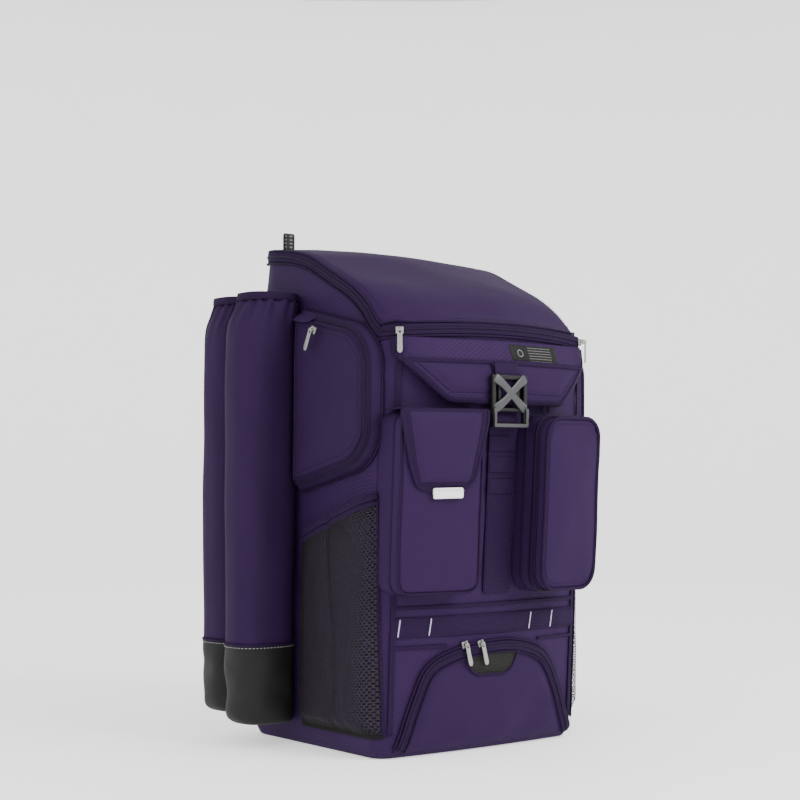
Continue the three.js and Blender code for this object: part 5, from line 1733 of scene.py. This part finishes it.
class BATPACK_OT_back(PackOperator, bpy.types.Operator):
    """Pad the back and hang the shoulder straps"""

    bl_idname = "batpack.back"
    bl_label = "Back and Straps"

    def build(self):
        form = self.form
        half, foot, tall, deep = 110 * MM, 62 * MM, 480 * MM, 12 * MM
        outline = rounded_box(half, tall / 2, 36 * MM)

        def put(u, v, d):
            channel = min(abs(v - at) for at in (-0.13, 0.0, 0.13))
            groove = 3.4 * MM * math.exp(-((channel / 0.006) ** 2)) * ease(d / deep)
            spine_groove = 3.0 * MM * math.exp(-((u / 0.010) ** 2)) * ease(d / deep)
            y = form.half_depth + 0.6 * MM + d - max(groove, spine_groove)
            return Vector((-u, y, foot + tall / 2 + v))

        pocket(
            "back_pad_cloth",
            48,
            76,
            outline,
            0.03,
            deep - 3 * MM,
            3 * MM,
            0.0,
            put,
            (0.24, 0.50),
            "spacer",
            replaces=["back_pad"],
            wall=0,
            soft=0.7,
        )
        run = outline_run(outline, 1.0, 160)
        edge = [Vector((-u, form.half_depth + 2.0 * MM, foot + tall / 2 + v)) for u, v in run]
        outs = [BEHIND + Vector((-u / half, 0, v / tall)) for u, v in run]
        strip("back_pad_binding", edge, outs, round_section(2.2 * MM), "black_webbing", closed=True)

        path = {
            "height": (1, 0.94, 0.87, 0.76, 0.6, 0.42, 0.22, 0.07, 0),
            "inward": (1, 1, 0.98, 0.88, 0.68, 0.44, 0.2, 0.05, 0),
            "bow": (0, 0, 0.32, 0.74, 0.98, 1, 0.84, 0.66, 0.58),
            "width": (1, 1, 1, 1.04, 1.04, 1, 0.86, 0.66, 0.58),
        }
        order = {key: tuple(reversed(values)) for key, values in path.items()}
        top, low, wide, thick, bow = 0.626, 0.205, 64 * MM, 12 * MM, 46 * MM
        for side, where in ((-1, "left"), (1, "right")):
            shares = np.linspace(1, 0, 60)

            def look(key, share):
                return even(order, key, "height", share, 0.03)

            points = [
                Vector((
                    side * mix(0.112, 0.054, look("inward", k)),
                    form.half_depth + 0.5 * MM + thick / 2 + bow * look("bow", k),
                    mix(low, top, k),
                ))
                for k in shares
            ]
            scales = [(look("width", k), 1.0) for k in shares]
            frames = spine(points, BEHIND)
            sweep(f"shoulder_strap_{where}_pad", frames, flat_section(wide, thick, 20, 3.4), "spacer",
                  scales=scales, replaces=[f"shoulder_strap_{where}"], soft=0.75, smooth=1)
            cover = flat_section(wide * 0.9, 1.6 * MM, 12, 6.0, thick / 2 + 0.1 * MM)
            sweep(f"shoulder_cover_{where}", frames, cover, "smooth_dark", scales=scales, smooth=1)
            web = flat_section(25 * MM, 1.8 * MM, 12, 6.0, thick / 2 + 1.6 * MM)
            sweep(f"shoulder_webbing_{where}", frames[4:], web, "black_webbing", smooth=1)
            rims = []
            for hand in (-1, 1):
                rim = [p + a * (hand * wide / 2 * w[0]) for (p, a, _), w in zip(frames, scales)]
                rims.append(sweep_mesh(spine(rim, BEHIND), round_section(2.0 * MM)))
            finished(merged(rims), f"shoulder_binding_{where}", "black_webbing", smooth=0)
            rows = []
            for hand in (-1, 1):
                aside, lift = hand * wide * 0.40, thick / 2 + 1.2 * MM
                row = [p + a * (aside * w[0]) + o * lift for (p, a, o), w in zip(frames, scales)]
                rows.append((row, BEHIND))
            stitches(f"shoulder_stitching_{where}", rows, "boot_thread")

            box_low, box_high = (Vector(v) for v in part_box(f"ladder_lock_{where}"))
            centre, size = (box_low + box_high) / 2, box_high - box_low
            post, rail, eased = 3.6 * MM, 4.2 * MM, 1.1 * MM
            bars = []
            for h in (-1, 1):
                spot = Matrix.Translation(centre + Vector((h * (size.x - post) / 2, 0, 0)))
                bars.append(bar_mesh((post, size.y, size.z), spot, eased))
            for h in (-1, 0, 1):
                spot = Matrix.Translation(centre + Vector((0, 0, h * (size.z - rail) / 2)))
                bars.append(bar_mesh((size.x - 2 * MM, size.y * 0.8, rail), spot, eased))
            finished(
                merged(bars),
                f"ladder_lock_{where}_frame",
                "buckle_black",
                replaces=[f"ladder_lock_{where}"],
            )
            end = points[-1]
            threaded = [
                end + Vector((0, 1.0 * MM, 6 * MM)),
                end + Vector((0, 3.6 * MM, -3 * MM)),
                Vector((centre.x, centre.y + 4.0 * MM, centre.z + 5 * MM)),
                Vector((centre.x, centre.y, centre.z)),
                Vector((centre.x, centre.y + 3.2 * MM, centre.z - 7 * MM)),
            ]
            web_top = box_low.z
            for share in (0.03, 0.12, 0.3, 0.55, 0.75, 0.88, 1):
                threaded.append(Vector((
                    side * mix(0.112, 0.133, share),
                    mix(end.y, form.half_depth + 2.4 * MM, min(1, share / 0.88)),
                    mix(web_top, 0.034, share),
                )))
            strip(
                f"adjuster_{where}",
                threaded,
                BEHIND,
                flat_section(25 * MM, 1.8 * MM),
                "black_webbing",
                replaces=[f"adjuster_webbing_{where}"],
                smooth=1,
            )
        plate = [Vector((x, form.half_depth + 1.6 * MM, 0.619)) for x in np.linspace(-0.095, 0.095, 20)]
        strip("strap_yoke", plate, BEHIND, flat_section(18 * MM, 2.4 * MM), "black_webbing")


class BATPACK_OT_hang_loop(PackOperator, bpy.types.Operator):
    """Sew the hang loop on the back of the lid"""

    bl_idname = "batpack.hang_loop"
    bl_label = "Hang Loop"

    def build(self):
        low, high = (Vector(corner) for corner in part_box("hang_loop"))
        centre = (low + high) / 2
        reach = (high.y - low.y) / 2 - 0.8 * MM
        tall = high.z - low.z
        points = [Vector((centre.x, centre.y - reach, low.z + tall * k / 8)) for k in range(8)]
        bend = high.z - reach - 0.8 * MM
        points = [p for p in points if p.z < bend]
        points += [
            Vector((centre.x, centre.y - reach * math.cos(a), bend + reach * math.sin(a)))
            for a in np.linspace(0, math.pi, 9)
        ]
        points += [Vector((centre.x, centre.y + reach, p.z)) for p in reversed(points[:-9])]
        outs = [(p - Vector((centre.x, centre.y, min(p.z, bend)))) for p in points]
        strip(
            "loop_webbing",
            points,
            outs,
            flat_section(16 * MM, 1.5 * MM),
            "loop",
            replaces=["hang_loop"],
            smooth=1,
        )


class BATPACK_OT_zip_pulls(PackOperator, bpy.types.Operator):
    """Cast the zip sliders and the tabs that swing on them"""

    bl_idname = "batpack.zip_pulls"
    bl_label = "Zip Pulls"

    def build(self):
        outs = {
            "lid_left": self.form.front_out(-0.1514, self.form.zip_line),
            "lid_right": self.form.front_out(0.1514, self.form.zip_line),
            "side_left": Vector((-1, 0, 0)),
            "side_right": Vector((1, 0, 0)),
            "door_a": AHEAD,
            "door_b": AHEAD,
        }
        rises = {"lid": 9.2 * MM, "side": 6.4 * MM, "door": 6 * MM}
        for joint in frame["joints"]:
            node = joint["child"]
            name = node.removeprefix("pull_")
            pin = Vector(joint["axis"]).normalized()
            out = outs[name]
            out = (out - pin * out.dot(pin)).normalized()
            along = out.cross(pin)
            turn = Matrix((along, out, pin)).transposed().to_4x4()
            rise = rises[name.split("_")[0]]
            at = Matrix.Translation(Vector(joint["pos_m"])) @ turn
            self.tab(node, at)
            self.slider(name, at, rise)

    def tab(self, node, at):
        """A flat tab with a slot at its head that hangs from the slider's bridge."""
        long, wide, thick = 28 * MM, 6.6 * MM, 1.5 * MM
        head = -2.2 * MM
        middle = (long + head) / 2
        hole, hole_long, hole_wide = 2.2 * MM, 2.0 * MM, 1.5 * MM
        steps = 40

        def rim(share, inner):
            angle = TAU * share
            c, s = math.cos(angle), math.sin(angle)
            if inner:
                return hole + hole_long * bowed(c, 3.0), hole_wide * bowed(s, 3.0)
            x = middle + (long - head) / 2 * bowed(c, 7.0)
            waist = 1 - 0.12 * math.exp(-(((x - 9 * MM) / (5 * MM)) ** 2))
            tip = 1 - 0.35 * ease((x - (long - 3 * MM)) / (3 * MM))
            return x, wide / 2 * bowed(s, 7.0) * waist * tip

        def place(s, t):
            outer, inner = rim(s, False), rim(s, True)
            x, z = mix(inner[0], outer[0], t), mix(inner[1], outer[1], t)
            return at @ Vector((x, thick / 2, z))

        mesh = cloth_mesh(steps, 3, place, (wide, long))
        plate = mesh.faces[:]
        grown = bmesh.ops.extrude_face_region(mesh, geom=plate)["geom"]
        away = at.to_3x3() @ Vector((0, -thick, 0))
        bmesh.ops.translate(mesh, verts=[v for v in grown if isinstance(v, bmesh.types.BMVert)], vec=away)
        bmesh.ops.recalc_face_normals(mesh, faces=mesh.faces)
        sharp = [e for e in mesh.edges if len(e.link_faces) == 2 and e.calc_face_angle(0) > 1.0]
        bmesh.ops.bevel(
            mesh, geom=sharp, offset=0.35 * MM, affect="EDGES", segments=2, profile=0.5, material=-1
        )
        finished(mesh, f"{node}_tab", "zinc", body=node, replaces=[node], smooth=0)

    def slider(self, name, at, rise):
        """The slider's body, its cheeks and the bridge over them."""
        base = -rise
        spot = at @ Matrix.Translation((0, base + 1.5 * MM, 0))
        block = [bar_mesh((9 * MM, 3.0 * MM, 9.6 * MM), spot, 1.1 * MM, 3)]
        spot = at @ Matrix.Translation((-1.5 * MM, base + rise / 2, 0))
        block.append(bar_mesh((5 * MM, max(1.5 * MM, rise - 4 * MM), 3 * MM), spot, 0.6 * MM))
        bridge = []
        for k in range(13):
            angle = math.pi * k / 12
            over = base + 2.4 * MM + (rise - 1.2 * MM) * math.sin(angle)
            bridge.append(at @ Vector((-0.6 * MM - 3.0 * MM * math.cos(angle), over, 0)))
        centre = at @ Vector((0, base, 0))
        outs = [(p - centre).normalized() for p in bridge]
        block.append(sweep_mesh(spine(bridge, outs), flat_section(2.2 * MM, 1.2 * MM, 8, 3.0)))
        finished(merged(block), f"slider_{name}_cast", "zinc", replaces=[f"slider_{name}"], smooth=0)


# The camera as fitted to the photo: level, with the horizon below the picture's middle.
PHOTO_PIXELS, HORIZON_ROW, FOCAL_PIXELS = 800, 474, 1650
PHOTO_EYE = Vector((-1.3917, -1.7615, 0.3529))
PHOTO_TURN = math.radians(38)
SENSOR = 36.0
FLOOR_REACH, FLOOR_FLAT, FLOOR_RISE = 7.0, 3.4, 3.0
LAMP_AIM = Vector((0, 0, 0.35))


def facing(spot, look):
    """Where a lamp or camera stands, at a spot, looking along a way."""
    return Matrix.Translation(spot) @ look.to_track_quat("-Z", "Y").to_matrix().to_4x4()


class BATPACK_OT_stage(PackOperator, bpy.types.Operator):
    """Set the pale floor, the soft lights and the camera"""

    bl_idname = "batpack.stage"
    bl_label = "Stage"

    def build(self):
        def place(s, t):
            angle, out = TAU * s, FLOOR_REACH * t
            rise = FLOOR_RISE * ease((out - FLOOR_FLAT) / (FLOOR_REACH - FLOOR_FLAT)) ** 1.5
            return Vector((out * math.cos(angle), out * math.sin(angle), rise - 0.5 * MM))

        mesh = cloth_mesh(64, 24, place, (1, 1))
        bmesh.ops.recalc_face_normals(mesh, faces=mesh.faces)
        data = bpy.data.meshes.new("floor")
        mesh.to_mesh(data)
        mesh.free()
        floor = bpy.data.objects.new("floor", data)
        bpy.context.scene.collection.objects.link(floor)
        data.materials.append(material_of("floor"))
        data.polygons.foreach_set("use_smooth", [True] * len(data.polygons))

        world = bpy.data.worlds.new("studio")
        bpy.context.scene.world = world
        world.use_nodes = True
        backing = world.node_tree.nodes["Background"]
        backing.inputs["Color"].default_value = (1.0, 1.0, 1.0, 1.0)
        backing.inputs["Strength"].default_value = 1.2
        for name, place_at, energy, width in (
            ("key", (0.9, -2.4, 2.1), 84, 1.6),
            ("side", (-2.7, -0.7, 1.6), 26, 1.6),
            ("top", (0.0, -0.9, 2.9), 4, 2.2),
            ("rim", (1.6, 2.4, 2.0), 8, 1.6),
        ):
            lamp = bpy.data.lights.new(name, "AREA")
            lamp.energy, lamp.size = energy, width
            holder = bpy.data.objects.new(name, lamp)
            bpy.context.scene.collection.objects.link(holder)
            spot = Vector(place_at)
            holder.matrix_world = facing(spot, LAMP_AIM - spot)

        lens = bpy.data.cameras.new("camera")
        lens.sensor_width, lens.sensor_fit = SENSOR, "HORIZONTAL"
        lens.lens = FOCAL_PIXELS / PHOTO_PIXELS * SENSOR
        lens.shift_y = (HORIZON_ROW - PHOTO_PIXELS / 2) / PHOTO_PIXELS
        camera = bpy.data.objects.new("camera", lens)
        bpy.context.scene.collection.objects.link(camera)
        look = Vector((math.sin(PHOTO_TURN), math.cos(PHOTO_TURN), 0))
        camera.matrix_world = facing(PHOTO_EYE, look)
        bpy.context.scene.camera = camera


OPERATORS = (
    BATPACK_OT_body,
    BATPACK_OT_lid,
    BATPACK_OT_front_flap,
    BATPACK_OT_buckle,
    BATPACK_OT_webbing,
    BATPACK_OT_left_pocket,
    BATPACK_OT_right_pocket,
    BATPACK_OT_shoe_door,
    BATPACK_OT_sleeves,
    BATPACK_OT_side_pockets,
    BATPACK_OT_mesh_pockets,
    BATPACK_OT_back,
    BATPACK_OT_hang_loop,
    BATPACK_OT_zip_pulls,
    BATPACK_OT_stage,
)


class BATPACK_PT_panel(bpy.types.Panel):
    """The backpack's sizes, colours and pieces"""

    bl_label = "Bat Backpack"
    bl_idname = "BATPACK_PT_panel"
    bl_space_type = "VIEW_3D"
    bl_region_type = "UI"
    bl_category = "Bat Backpack"

    def draw(self, context):
        for group in (context.scene.pack_sizes, context.scene.pack_colours):
            box = self.layout.box()
            for name in group.__annotations__:
                box.prop(group, name)
        for operator in OPERATORS:
            self.layout.operator(operator.bl_idname)


CLASSES = (PackSizes, PackColours, *OPERATORS, BATPACK_PT_panel)


def register():
    for made in CLASSES:
        bpy.utils.register_class(made)
    bpy.types.Scene.pack_sizes = PointerProperty(type=PackSizes)
    bpy.types.Scene.pack_colours = PointerProperty(type=PackColours)


def unregister():
    del bpy.types.Scene.pack_colours
    del bpy.types.Scene.pack_sizes
    for made in reversed(CLASSES):
        bpy.utils.unregister_class(made)


def main():
    register()
    for operator in OPERATORS:
        group, name = operator.bl_idname.split(".")
        getattr(getattr(bpy.ops, group), name)()


if __name__ == "__main__":
    main()
